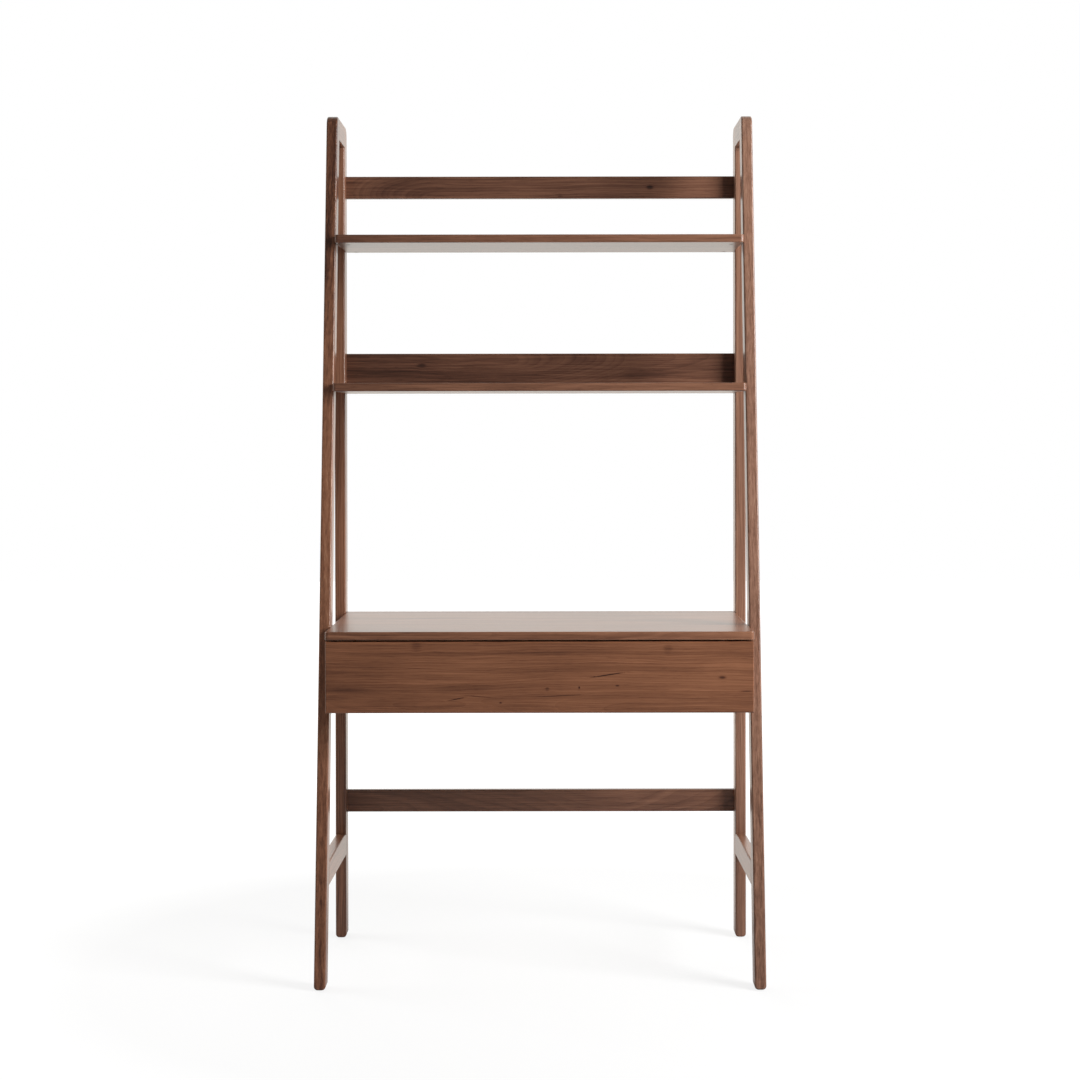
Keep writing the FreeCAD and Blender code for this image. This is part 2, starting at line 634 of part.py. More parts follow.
def wall_hanger(side):
    """A keyhole plate: the wall screw's head enters below and slides up the slot."""
    middle = rail_mids["upper_back_rail"]
    x = f"{SIDES[side]} * {HANGER_SIDE}"
    body = new_body(f"wall_hanger_{side}")
    plate = new_sketch(body, "XZ_Plane", "-rail_inset")
    draw_outline(plate, rectangle(f"{x} - hanger_wide / 2", f"{x} + hanger_wide / 2",
                                  f"{middle} - hanger_tall / 2", f"{middle} + hanger_tall / 2"))
    pad(body, plate, "hanger_thick")
    entry = [(x, f"{middle} - keyhole_entry / 2")]
    drill(body, "XZ_Plane", "-rail_inset", entry, "keyhole_entry / 2", "hanger_thick", "-y")
    slot = new_sketch(body, "XZ_Plane", "-rail_inset")
    slot_top = f"({middle} + keyhole_run - keyhole_entry / 2)"
    draw_outline(slot, rectangle(f"{x} - keyhole_slot / 2", f"{x} + keyhole_slot / 2",
                                 f"{middle} - keyhole_entry / 2", slot_top))
    cut(body, slot, "hanger_thick", "-y")
    drill(body, "XZ_Plane", "-rail_inset", [(x, slot_top)], "keyhole_slot / 2", "hanger_thick", "-y")
    screws = [(x, f"{middle} {way} hanger_screw_step") for way in "+-"]
    drill(body, "XZ_Plane", "-rail_inset", screws, "screw_head / 2 + fit", "hanger_thick", "-y")


def wall_hanger_screws():
    middle = rail_mids["upper_back_rail"]
    members = [headed((f"{sign} * {HANGER_SIDE}", "(-rail_inset)", f"({middle} {way} hanger_screw_step)"), "-y",
                      "screw_head", "hanger_thick", "screw_wide", "hanger_screw_long")
               for sign in SIDES.values() for way in "+-"]
    group("wall_hanger_screws", members)


# ---- desk ----

bracket_places = [f"({CASE_FRONT} + bracket_in)", f"({CASE_BACK} - bracket_in)"]
bracket_side_screws = [(along, f"({DESK_LOW} - bracket_leg * 0.6)") for along in bracket_places]
slide_screw_places = [f"({SLIDE_FRONT} + slide_screw_end)", SLIDE_MIDDLE,
                      f"({SLIDE_BACK} - slide_screw_end)"]
desk_dowel_highs = [f"({DESK_SIDE_LOW} + desk_dowel_step)", f"({DESK_LOW} - desk_dowel_step)"]
DESK_BACK_MID = "(-desk_gap - board_thick / 2)"


def desktop():
    body = board("desktop", f"-{INNER}", INNER, "-depth", "-desk_gap", DESK_LOW, "board_thick")
    round_front(body)
    screws = [(f"{sign} * ({CASE_INNER} - bracket_leg * 0.6)", along)
              for sign in SIDES.values() for along in bracket_places]
    drill(body, "XY_Plane", DESK_LOW, screws, "screw_wide / 2 + fit", "screw_long + glue_room", "+z")


def desk_side(side):
    """The side of the desk, bolted flat against the inner faces of both legs."""
    sign = SIDES[side]
    low_x, high_x = (f"-{INNER}", f"-{CASE_INNER}") if side == "left" else (CASE_INNER, INNER)
    body = board(f"desk_side_{side}", low_x, high_x, CASE_FRONT, "-desk_gap", DESK_SIDE_LOW, "desk_side_tall")
    box = body.Tip.Shape.BoundBox
    fillet(body, "board_ease", lambda edge: runs_along(edge, Y_AXIS) and edge.CenterOfMass.z < box.ZMin + 1)
    inserts = [(along, high) for high in desk_bolt_highs for along in (leg_mid(high), LEG_MID_REAR)]
    drill(body, "YZ_Plane", f"{sign} * {INNER}", inserts, "insert_wide / 2 + fit",
          "insert_long + glue_room", minus(side))
    inner_face = f"{sign} * {CASE_INNER}"
    screws = [(along, "slide_high") for along in slide_screw_places] + bracket_side_screws
    drill(body, "YZ_Plane", inner_face, screws, "screw_wide / 2 + fit", "screw_long + glue_room", plus(side))
    dowels = [(DESK_BACK_MID, high) for high in desk_dowel_highs]
    drill(body, "YZ_Plane", inner_face, dowels, "dowel_wide / 2 + fit", "rail_dowel_sink", plus(side))


def desk_back():
    body = board("desk_back", f"-{CASE_INNER}", CASE_INNER, "-desk_gap - board_thick", "-desk_gap",
                 DESK_SIDE_LOW, "desk_side_tall")
    box = body.Tip.Shape.BoundBox
    fillet(body, "board_ease", lambda edge: runs_along(edge, X_AXIS) and edge.CenterOfMass.z < box.ZMin + 1)
    dowels = [(DESK_BACK_MID, high) for high in desk_dowel_highs]
    for side, sign in SIDES.items():
        drill(body, "YZ_Plane", f"{sign} * {CASE_INNER}", dowels, "dowel_wide / 2 + fit",
              "rail_dowel_long - rail_dowel_sink + glue_room", minus(side))


def desk_dowels():
    members = [rod((f"{sign} * ({CASE_INNER} + rail_dowel_sink)", DESK_BACK_MID, high), minus(side),
                   "dowel_wide / 2", "rail_dowel_long")
               for side, sign in SIDES.items() for high in desk_dowel_highs]
    group("desk_dowels", members)


def desk_inserts():
    """Threaded inserts in the outer faces of the desk sides."""
    members = []
    for side, sign in SIDES.items():
        for high in desk_bolt_highs:
            for along in (leg_mid(high), LEG_MID_REAR):
                place = (f"{sign} * {INNER}", along, high)
                insert = doc.addObject("Part::Cut", "Insert")
                insert.Base = rod(place, minus(side), "insert_wide / 2", "insert_long")
                insert.Tool = rod(place, minus(side), "bolt_wide / 2 + thread_gap", "insert_long")
                members.append(insert)
    group("desk_inserts", members)


def corner_bracket(side, along):
    """A steel angle in the corner between a desk side and the desktop."""
    sign = SIDES[side]
    flat = doc.addObject("Part::Box", "Flat")
    tie(flat, "Length", "bracket_leg")
    tie(flat, "Width", "bracket_wide")
    tie(flat, "Height", "bracket_thick")
    low_x = f"({sign} * ({CASE_INNER} - bracket_leg / 2) - bracket_leg / 2)"
    put(flat, (low_x, f"{along} - bracket_wide / 2", f"{DESK_LOW} - bracket_thick"))
    upright = doc.addObject("Part::Box", "Upright")
    tie(upright, "Length", "bracket_thick")
    tie(upright, "Width", "bracket_wide")
    tie(upright, "Height", "bracket_leg")
    low_x = f"({sign} * ({CASE_INNER} - bracket_thick / 2) - bracket_thick / 2)"
    put(upright, (low_x, f"{along} - bracket_wide / 2", f"{DESK_LOW} - bracket_leg"))
    angle = doc.addObject("Part::MultiFuse", "Angle")
    angle.Shapes = [flat, upright]
    holes = doc.addObject("Part::MultiFuse", "AngleHoles")
    high = f"({DESK_LOW} - bracket_leg * 0.6)"
    holes.Shapes = [
        rod((f"{sign} * ({CASE_INNER} - bracket_thick * 2)", along, high), plus(side),
            "screw_head / 2 + fit", "bracket_thick * 3"),
        rod((f"{sign} * ({CASE_INNER} - bracket_leg * 0.6)", along, f"{DESK_LOW} - bracket_thick * 2"), "+z",
            "screw_head / 2 + fit", "bracket_thick * 3"),
    ]
    bracket = doc.addObject("Part::Cut", "Bracket")
    bracket.Base = angle
    bracket.Tool = holes
    return bracket


def desk_brackets():
    group("corner_brackets", [corner_bracket(side, along) for side in SIDES for along in bracket_places])
    screws = []
    for side, sign in SIDES.items():
        for along in bracket_places:
            sideways = (f"{sign} * ({CASE_INNER} - bracket_thick)", along, f"({DESK_LOW} - bracket_leg * 0.6)")
            upwards = (f"{sign} * ({CASE_INNER} - bracket_leg * 0.6)", along, f"({DESK_LOW} - bracket_thick)")
            for place, toward in ((sideways, plus(side)), (upwards, "+z")):
                screws.append(headed(place, toward, "screw_head", "bracket_thick", "screw_wide", "screw_long"))
    group("bracket_screws", screws)


# ---- ball slides ----

def slide_x(side, inward):
    """A place across a slide, measured inwards from the desk side."""
    return f"{SIDES[side]} * ({CASE_INNER} - {inward})"


def channel(name, side, back, tip, tall, metal, front, long):
    """A C-shaped sheet member: its web stands at back and its flanges reach to tip."""
    body = new_body(name)
    drawing = new_sketch(body, "XZ_Plane", front)
    inside = f"({back} + {metal})" if tip > back else f"({back} - {metal})"
    low = f"(slide_high - {tall} / 2)"
    high = f"(slide_high + {tall} / 2)"
    draw_outline(drawing, [
        (slide_x(side, back), low),
        (slide_x(side, tip), low),
        (slide_x(side, tip), f"{low} + {metal}"),
        (slide_x(side, inside), f"{low} + {metal}"),
        (slide_x(side, inside), f"{high} - {metal}"),
        (slide_x(side, tip), f"{high} - {metal}"),
        (slide_x(side, tip), high),
        (slide_x(side, back), high),
    ])
    feature = pad(body, drawing, long)
    feature.Reversed = True
    doc.recompute()
    return body


OUTER_BALL = "((outer_tall / 2 - slide_metal - middle_tall / 2) / 2)"
OUTER_BALL_UP = "((outer_tall / 2 - slide_metal + middle_tall / 2) / 2)"
INNER_BALL = "((middle_tall / 2 - slide_metal - inner_tall / 2) / 2)"
INNER_BALL_UP = "((middle_tall / 2 - slide_metal + inner_tall / 2) / 2)"
MIDDLE_INSIDE = "(middle_in + slide_metal)"
INNER_TIP = "(slide_thick - inner_deep)"
CAGES = {
    "outer": (f"((slide_metal + middle_in - cage_metal) / 2)", "outer_cage_tip",
              OUTER_BALL, OUTER_BALL_UP, "outer_ball_in"),
    "inner": (f"(({MIDDLE_INSIDE} + {INNER_TIP} - cage_metal) / 2)", "inner_cage_tip",
              INNER_BALL, INNER_BALL_UP, "inner_ball_in"),
}
ball_places = [f"({SLIDE_MIDDLE} + {i - (BALLS_PER_ROW - 1) / 2} * ball_step)" for i in range(BALLS_PER_ROW)]


def ball_cage(which, side):
    """A bent strip that spaces two rows of balls, one above and one below."""
    back, tip, radius, up, ball_in = CAGES[which]
    tall = f"({up} * 2 + cage_metal)"
    cage = new_body(f"{which}_cage_strip_{side}")
    nodes.remove(cage)
    drawing = new_sketch(cage, "XZ_Plane", f"{SLIDE_MIDDLE} - cage_long / 2")
    low = f"(slide_high - {tall} / 2)"
    high = f"(slide_high + {tall} / 2)"
    draw_outline(drawing, [
        (slide_x(side, back), low),
        (slide_x(side, tip), low),
        (slide_x(side, tip), f"{low} + cage_metal"),
        (slide_x(side, f"({back} + cage_metal)"), f"{low} + cage_metal"),
        (slide_x(side, f"({back} + cage_metal)"), f"{high} - cage_metal"),
        (slide_x(side, tip), f"{high} - cage_metal"),
        (slide_x(side, tip), high),
        (slide_x(side, back), high),
    ])
    feature = pad(cage, drawing, "cage_long")
    feature.Reversed = True
    doc.recompute()
    holes = [(slide_x(side, ball_in), along) for along in ball_places]
    drill(cage, "XY_Plane", f"{high} + 1", holes, f"{radius} - ball_gap + cage_gap", f"{tall} + 2", "-z")
    members = [cage]
    for along in ball_places:
        for sign in "+-":
            ball = doc.addObject("Part::Sphere", "Ball")
            tie(ball, "Radius", f"{radius} - ball_gap")
            members.append(put(ball, (slide_x(side, ball_in), along, f"slide_high {sign} {up}")))
    group(f"slide_{which}_balls_{side}", members)


def slide(side):
    """Three nested members with balls between them, and the screws that hold them."""
    places = [(along, "slide_high") for along in slide_screw_places]
    outer = channel(f"slide_cabinet_member_{side}", side, "0", "outer_deep", "outer_tall", "slide_metal",
                    SLIDE_FRONT, SLIDE_LONG)
    drill(outer, "YZ_Plane", slide_x(side, "0"), places, "screw_head / 2 + fit", "slide_metal", minus(side))
    channel(f"slide_middle_member_{side}", side, "middle_in", "outer_deep", "middle_tall", "slide_metal",
            SLIDE_FRONT, SLIDE_LONG)
    inner = channel(f"slide_drawer_member_{side}", side, "slide_thick", INNER_TIP, "inner_tall", "slide_metal",
                    SLIDE_FRONT, SLIDE_LONG)
    drill(inner, "YZ_Plane", slide_x(side, "slide_thick"), places, "screw_head / 2 + fit", "slide_metal",
          plus(side))
    ball_cage("outer", side)
    ball_cage("inner", side)


def slide_screws():
    cabinet = [headed((slide_x(side, "slide_metal"), along, "slide_high"), plus(side),
                      "screw_head", "slide_metal", "screw_wide", "screw_long")
               for side in SIDES for along in slide_screw_places]
    group("slide_cabinet_screws", cabinet)
    drawer = [headed((slide_x(side, "(slide_thick - slide_metal)"), along, "slide_high"), minus(side),
                     "screw_head", "slide_metal", "screw_wide", "inner_screw_long")
              for side in SIDES for along in slide_screw_places]
    group("slide_drawer_screws", drawer)


# ---- drawer ----

FACE_LOW = f"({DESK_LOW} - front_top_gap - front_tall)"
FACE_SIDE = f"({INNER} - front_side_gap)"
BOX_FRONT_BACK = f"({FACE_BACK} + drawer_wall)"
BOX_BACK_FRONT = f"({BOX_BACK} - drawer_wall)"
GROOVE_LOW = "(drawer_low + drawer_bottom_up)"
box_dowel_highs = ["(drawer_low + box_dowel_step)", "(drawer_low + drawer_tall - box_dowel_step)"]
box_dowel_alongs = [f"({FACE_BACK} + drawer_wall / 2)", f"({BOX_BACK} - drawer_wall / 2)"]
face_screw_places = [(f"{sign} * face_screw_side", high) for sign in SIDES.values() for high in box_dowel_highs]
bumper_places = [(f"{sign} * ({INNER} - board_thick / 2)", f"({FACE_LOW} + front_tall - bumper_down)")
                 for sign in SIDES.values()]


def drawer_front():
    """The full-width front, with a finger groove behind its lower edge."""
    body = board("drawer_front", f"-{FACE_SIDE}", FACE_SIDE, FACE_FRONT, FACE_BACK, FACE_LOW, "front_tall")
    box = body.Tip.Shape.BoundBox
    fillet(body, "board_ease", lambda edge: edge.CenterOfMass.y < box.YMin + 1)
    groove = new_sketch(body, "XZ_Plane", FACE_BACK)
    draw_outline(groove, rectangle("-pull_wide / 2", "pull_wide / 2", f"{FACE_LOW} - 1", f"{FACE_LOW} + pull_tall"))
    cut(body, groove, "pull_deep", "-y")
    drill(body, "XZ_Plane", FACE_BACK, face_screw_places, "face_screw_wide / 2 + fit",
          "face_screw_long - drawer_wall + glue_room", "-y")


def grooved(body, role, at, low_across, high_across, toward):
    """A groove for the drawer bottom along one wall of the box."""
    drawing = new_sketch(body, role, at)
    draw_outline(drawing, rectangle(low_across, high_across, GROOVE_LOW,
                                    f"{GROOVE_LOW} + drawer_bottom_thick + groove_gap"))
    cut(body, drawing, "groove_deep", toward)


def drawer_cross_wall(name, low_y, high_y, inner_y, toward, along):
    body = board(name, f"-{BOX_INNER}", BOX_INNER, low_y, high_y, "drawer_low", "drawer_tall")
    grooved(body, "XZ_Plane", inner_y, f"-{BOX_INNER} - 1", f"{BOX_INNER} + 1", toward)
    dowels = [(along, high) for high in box_dowel_highs]
    for side, sign in SIDES.items():
        drill(body, "YZ_Plane", f"{sign} * {BOX_INNER}", dowels, "box_dowel_wide / 2 + fit",
              "box_dowel_long - box_dowel_sink + glue_room", minus(side))
    return body


def drawer_side(side):
    sign = SIDES[side]
    low_x, high_x = (f"-{BOX_OUTER}", f"-{BOX_INNER}") if side == "left" else (BOX_INNER, BOX_OUTER)
    body = board(f"drawer_side_{side}", low_x, high_x, FACE_BACK, BOX_BACK, "drawer_low", "drawer_tall")
    inner_face = f"{sign} * {BOX_INNER}"
    grooved(body, "YZ_Plane", inner_face, f"{BOX_FRONT_BACK} - groove_deep", f"{BOX_BACK_FRONT} + groove_deep",
            plus(side))
    dowels = [(along, high) for along in box_dowel_alongs for high in box_dowel_highs]
    drill(body, "YZ_Plane", inner_face, dowels, "box_dowel_wide / 2 + fit", "box_dowel_sink", plus(side))
    screws = [(along, "slide_high") for along in slide_screw_places]
    drill(body, "YZ_Plane", f"{sign} * {BOX_OUTER}", screws, "screw_wide / 2 + fit",
          "inner_screw_long + glue_room", minus(side))


def drawer():
    drawer_front()
    front = drawer_cross_wall("drawer_box_front", FACE_BACK, BOX_FRONT_BACK, BOX_FRONT_BACK, "-y",
                              box_dowel_alongs[0])
    drill(front, "XZ_Plane", BOX_FRONT_BACK, face_screw_places, "face_screw_wide / 2 + fit", "drawer_wall", "-y")
    drawer_cross_wall("drawer_back", BOX_BACK_FRONT, BOX_BACK, BOX_BACK_FRONT, "+y", box_dowel_alongs[1])
    for side in SIDES:
        drawer_side(side)
    edge = "(groove_deep - groove_gap)"
    board("drawer_bottom", f"-{BOX_INNER} - {edge}", f"{BOX_INNER} + {edge}",
          f"{BOX_FRONT_BACK} - {edge}", f"{BOX_BACK_FRONT} + {edge}", GROOVE_LOW, "drawer_bottom_thick")
    group("drawer_dowels", [
        rod((f"{sign} * ({BOX_INNER} + box_dowel_sink)", along, high), minus(side),
            "box_dowel_wide / 2", "box_dowel_long")
        for side, sign in SIDES.items() for along in box_dowel_alongs for high in box_dowel_highs])
    group("drawer_face_screws", [
        headed((x, f"({BOX_FRONT_BACK} + face_screw_cap)", high), "-y",
               "face_screw_head", "face_screw_cap", "face_screw_wide", "face_screw_long")
        for x, high in face_screw_places])
    group("drawer_bumpers", [
        rod((x, FACE_BACK, high), "+y", "bumper_wide / 2", "bumper_thick") for x, high in bumper_places])


# ---- assembly ----

for side in SIDES:
    rear_leg(side)
    front_leg(side)
    top_rail(side)
    side_stretcher(side)
    frame_dowels(side)
foot_glides()

shelf("upper_shelf", UPPER_SHELF_LOW)
shelf("middle_shelf", MIDDLE_SHELF_LOW)
shelf_bolt_places = [(along, high) for high in shelf_mids for along in (leg_mid(high), "(-shelf_bolt_back)")]
connector_bolts("shelf_bolts", shelf_bolt_places, "bolt_long")
barrel_nuts("shelf_barrel_nuts", shelf_bolt_places, "+z")

for name in RAILS:
    rail = back_rail(name)
    if name == "upper_back_rail":
        hanger_recesses(rail)
rail_bolt_places = [(RAIL_MID, high) for high in rail_mids.values()]
connector_bolts("rail_bolts", rail_bolt_places, "bolt_long")
barrel_nuts("rail_barrel_nuts", rail_bolt_places, "+y")
rail_dowel_group()
for side in SIDES:
    wall_hanger(side)
wall_hanger_screws()

desktop()
for side in SIDES:
    desk_side(side)
desk_back()
desk_dowels()
desk_inserts()
desk_bolt_places = [(along, high) for high in desk_bolt_highs for along in (leg_mid(high), LEG_MID_REAR)]
connector_bolts("desk_bolts", desk_bolt_places, "desk_bolt_long")
desk_brackets()

for side in SIDES:
    slide(side)
slide_screws()
drawer()

doc.recompute()
for thing in doc.Objects:
    if "Invalid" in thing.State or "Error" in thing.State:
        raise RuntimeError(f"{thing.Label} didn't recompute")
for node in nodes:
    if node.Shape.isNull() or not node.Shape.isValid():
        raise RuntimeError(f"{node.Label} has no valid shape")

os.makedirs("parts", exist_ok=True)
for node in nodes:
    node.Shape.exportStep(f"parts/{node.Label}.step")
    print(node.Label, len(node.Shape.Solids), round(node.Shape.Volume))
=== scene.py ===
# %% [markdown]
# # A ladder desk in walnut
# Two closed side frames stand on the floor. Their rear legs are upright, for the wall, and
# their front legs lean back. Shelves, back rails and a desk with one wide drawer are bolted
# between them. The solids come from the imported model, in metres, with the drawer opening
# towards -Y, so this lesson is about finishes, small fittings, light and the camera.

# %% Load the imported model
import json
import math
import bpy
import numpy as np
from mathutils import Matrix, Vector


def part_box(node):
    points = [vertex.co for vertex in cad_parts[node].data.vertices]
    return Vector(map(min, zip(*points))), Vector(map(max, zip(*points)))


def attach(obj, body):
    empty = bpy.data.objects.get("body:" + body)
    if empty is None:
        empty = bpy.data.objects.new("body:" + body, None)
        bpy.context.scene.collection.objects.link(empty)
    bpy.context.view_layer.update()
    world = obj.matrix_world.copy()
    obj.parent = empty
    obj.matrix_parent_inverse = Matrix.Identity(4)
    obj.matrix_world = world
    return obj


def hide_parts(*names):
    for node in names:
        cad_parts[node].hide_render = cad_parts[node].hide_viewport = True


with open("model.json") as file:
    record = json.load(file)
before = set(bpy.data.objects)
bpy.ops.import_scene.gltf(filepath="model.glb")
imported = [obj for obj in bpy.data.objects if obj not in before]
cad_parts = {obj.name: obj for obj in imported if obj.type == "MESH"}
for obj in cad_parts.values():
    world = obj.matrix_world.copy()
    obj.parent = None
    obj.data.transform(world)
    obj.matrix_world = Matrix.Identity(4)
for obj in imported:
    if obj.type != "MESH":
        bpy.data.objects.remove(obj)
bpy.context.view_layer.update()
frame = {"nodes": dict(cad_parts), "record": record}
nodes = frame["nodes"]

# %% [markdown]
# ## Shader maths that reads as maths
# A wood finish is a formula of the place on the piece. Blender adds it up with Math nodes,
# which are hard to read one by one. A small class can wrap an output socket, so that plus,
# minus, times and divide add those nodes, and a formula stays one line of Python.

# %% Wire: an output socket that takes part in sums
class Wire:
    """An output socket of a finish; arithmetic on it adds Math nodes."""

    def __init__(self, finish, socket):
        self.finish = finish
        self.socket = socket

    def sum(self, operation, left, right):
        return self.finish.node("ShaderNodeMath", {"operation": operation}, {0: left, 1: right})

    def __add__(self, other):
        return self.sum("ADD", self, other)

    def __radd__(self, other):
        return self.sum("ADD", other, self)

    def __sub__(self, other):
        return self.sum("SUBTRACT", self, other)

    def __rsub__(self, other):
        return self.sum("SUBTRACT", other, self)

    def __mul__(self, other):
        return self.sum("MULTIPLY", self, other)

    def __rmul__(self, other):
        return self.sum("MULTIPLY", other, self)

    def __truediv__(self, other):
        return self.sum("DIVIDE", self, other)

    def __rtruediv__(self, other):
        return self.sum("DIVIDE", other, self)


# %% Finish: a material that is filled node by node
class Finish:
    """A new material's node tree, or another tree that is handed in."""

    def __init__(self, name, tree=None):
        if tree is None:
            self.material = bpy.data.materials.new(name)
            self.material.use_nodes = True
            tree = self.material.node_tree
            self.surface = tree.nodes["Principled BSDF"]
        self.tree = tree

    def rays(self):
        """1 for a camera ray, and 1 for a mirrored or passed ray, as two wires."""
        kinds = [self.node("ShaderNodeLightPath", {}, {}, f"Is {kind} Ray")
                 for kind in ("Camera", "Glossy", "Transmission")]
        return kinds[0], kinds[1] + kinds[2]

    def node(self, kind, settings, inputs, output=0):
        """Any shader node: its settings are set first, then its sockets' values or links."""
        made = self.tree.nodes.new(kind)
        for key, setting in settings.items():
            if key == "stops":
                self.set_stops(made.color_ramp, setting)
            else:
                setattr(made, key, setting)
        for key, given in inputs.items():
            self.feed(made.inputs[key], given)
        return Wire(self, made.outputs[output])

    def set_stops(self, ramp, stops):
        while len(ramp.elements) < len(stops):
            ramp.elements.new(1.0)
        for element, (place, colour) in zip(ramp.elements, stops):
            element.position = place
            element.color = (*colour, 1.0)

    def feed(self, socket, given):
        if isinstance(given, Wire):
            self.tree.links.new(given.socket, socket)
        else:
            socket.default_value = given

    def set(self, **sockets):
        """Values or wires for the shader's own sockets, with _ for a space in a name."""
        for key, given in sockets.items():
            self.feed(self.surface.inputs[key.replace("_", " ")], given)
        return self.material

    def place(self):
        return self.node("ShaderNodeTexCoord", {}, {}, "Object")

    def along(self, place, direction):
        """The place's component along a unit direction: their dot product."""
        return self.node("ShaderNodeVectorMath", {"operation": "DOT_PRODUCT"},
                         {0: place, 1: tuple(direction)}, "Value")

    def joined(self, x, y, z):
        return self.node("ShaderNodeCombineXYZ", {}, {0: x, 1: y, 2: z})

    def noise(self, vector, detail=2.0, roughness=0.5):
        """Smooth noise of a vector, about 0 to 1, with features about 1 unit apart."""
        return self.node("ShaderNodeTexNoise", {"noise_dimensions": "3D"},
                         {"Vector": vector, "Scale": 1.0, "Detail": detail, "Roughness": roughness})

    def limited(self, value, low, high):
        """0 below low, 1 above high, straight between them."""
        return self.node("ShaderNodeMapRange", {"clamp": True},
                         {"Value": value, "From Min": low, "From Max": high})

    def bump(self, height, strength, distance):
        return self.node("ShaderNodeBump", {},
                         {"Height": height, "Strength": strength, "Distance": distance})


# %% [markdown]
# ## Walnut
# A board is cut from a trunk, so its figure comes from growth rings. A point's ring is its
# distance from the trunk's heart, divided by the rings' spacing. The heart runs nearly along
# the board, a few centimetres behind its face, and it wanders, so the face cuts the rings in
# long lines with a few pointed arches. Each piece gets its own stretch of trunk. Noise that
# is drawn out along the grain adds broad colour bands, fine fibres and the short dark pores.

# %% Walnut's colours and the sizes of its figure
WALNUT_STOPS = [
    (0.00, (0.024, 0.010, 0.007)),
    (0.25, (0.094, 0.040, 0.025)),
    (0.50, (0.205, 0.097, 0.060)),
    (0.75, (0.305, 0.155, 0.099)),
    (1.00, (0.460, 0.275, 0.185)),
]
PLAIN_LEVEL = 0.53    # where a plain board lies on the stops
RING_SPACING = 0.0042
FIGURE = {
    # part: (features in a metre along the grain, across it, detail, roughness)
    "shiver": (7.0, 20.0, 2.0, 0.5),
    "wander": (1.5, 6.0, 3.0, 0.5),
    "patches": (4.0, 14.0, 2.0, 0.5),
    "streaks": (1.3, 230.0, 2.0, 0.5),
    "fibres": (9.0, 620.0, 2.0, 0.6),
    "pores": (40.0, 1500.0, 1.0, 0.5),
}
# How far the noise moves a point sideways, and the heart sideways and back, in metres.
SHIVER, WANDER_ASIDE, WANDER_BACK = 0.007, 0.07, 0.12
# How far each part of the figure moves a point along the stops.
BAND_SHARE, LINE_SHARE, PATCH_SHARE = 0.60, 0.30, 0.24
STREAK_SHARE, FIBRE_SHARE, LATE_SHARE, PORE_SHARE = 0.36, 0.50, 0.07, 0.14
print(len(WALNUT_STOPS), "walnut colours,", len(FIGURE), "kinds of noise")


# %% Knots, and the three directions of a board
def nearness(finish, length, width, knot_and_shading):
    """How near a point is to a wood mark or a patch of painted shade or light: 1 / (1 + q^2),
    with q = d^2 / r^2 in a circle that is drawn out along the grain and leans by its slant.
    Knots and cracks are such wood marks."""
    at_length, at_width, radius, stretch, slant = knot_and_shading[:5]
    off_length = (length - at_length) / (radius * stretch)
    off_width = (width - at_width - (length - at_length) * slant) / radius
    off = off_length * off_length + off_width * off_width
    return 1 / (1 + off * off)


def board_axes(finish, place, grain, face):
    """The place along the fibres, across them and through the board: three dot products."""
    grain, face = (np.array(way, float) / np.linalg.norm(way) for way in (grain, face))
    return [finish.along(place, way) for way in (grain, np.cross(grain, face), face)]


def drawn_out(finish, part, run, width, depth):
    """Noise stretched along the grain: each direction is multiplied by the part's features
    in a metre."""
    along, across, detail, roughness = FIGURE[part]
    return finish.noise(finish.joined(run * along, width * across, depth * across), detail, roughness)


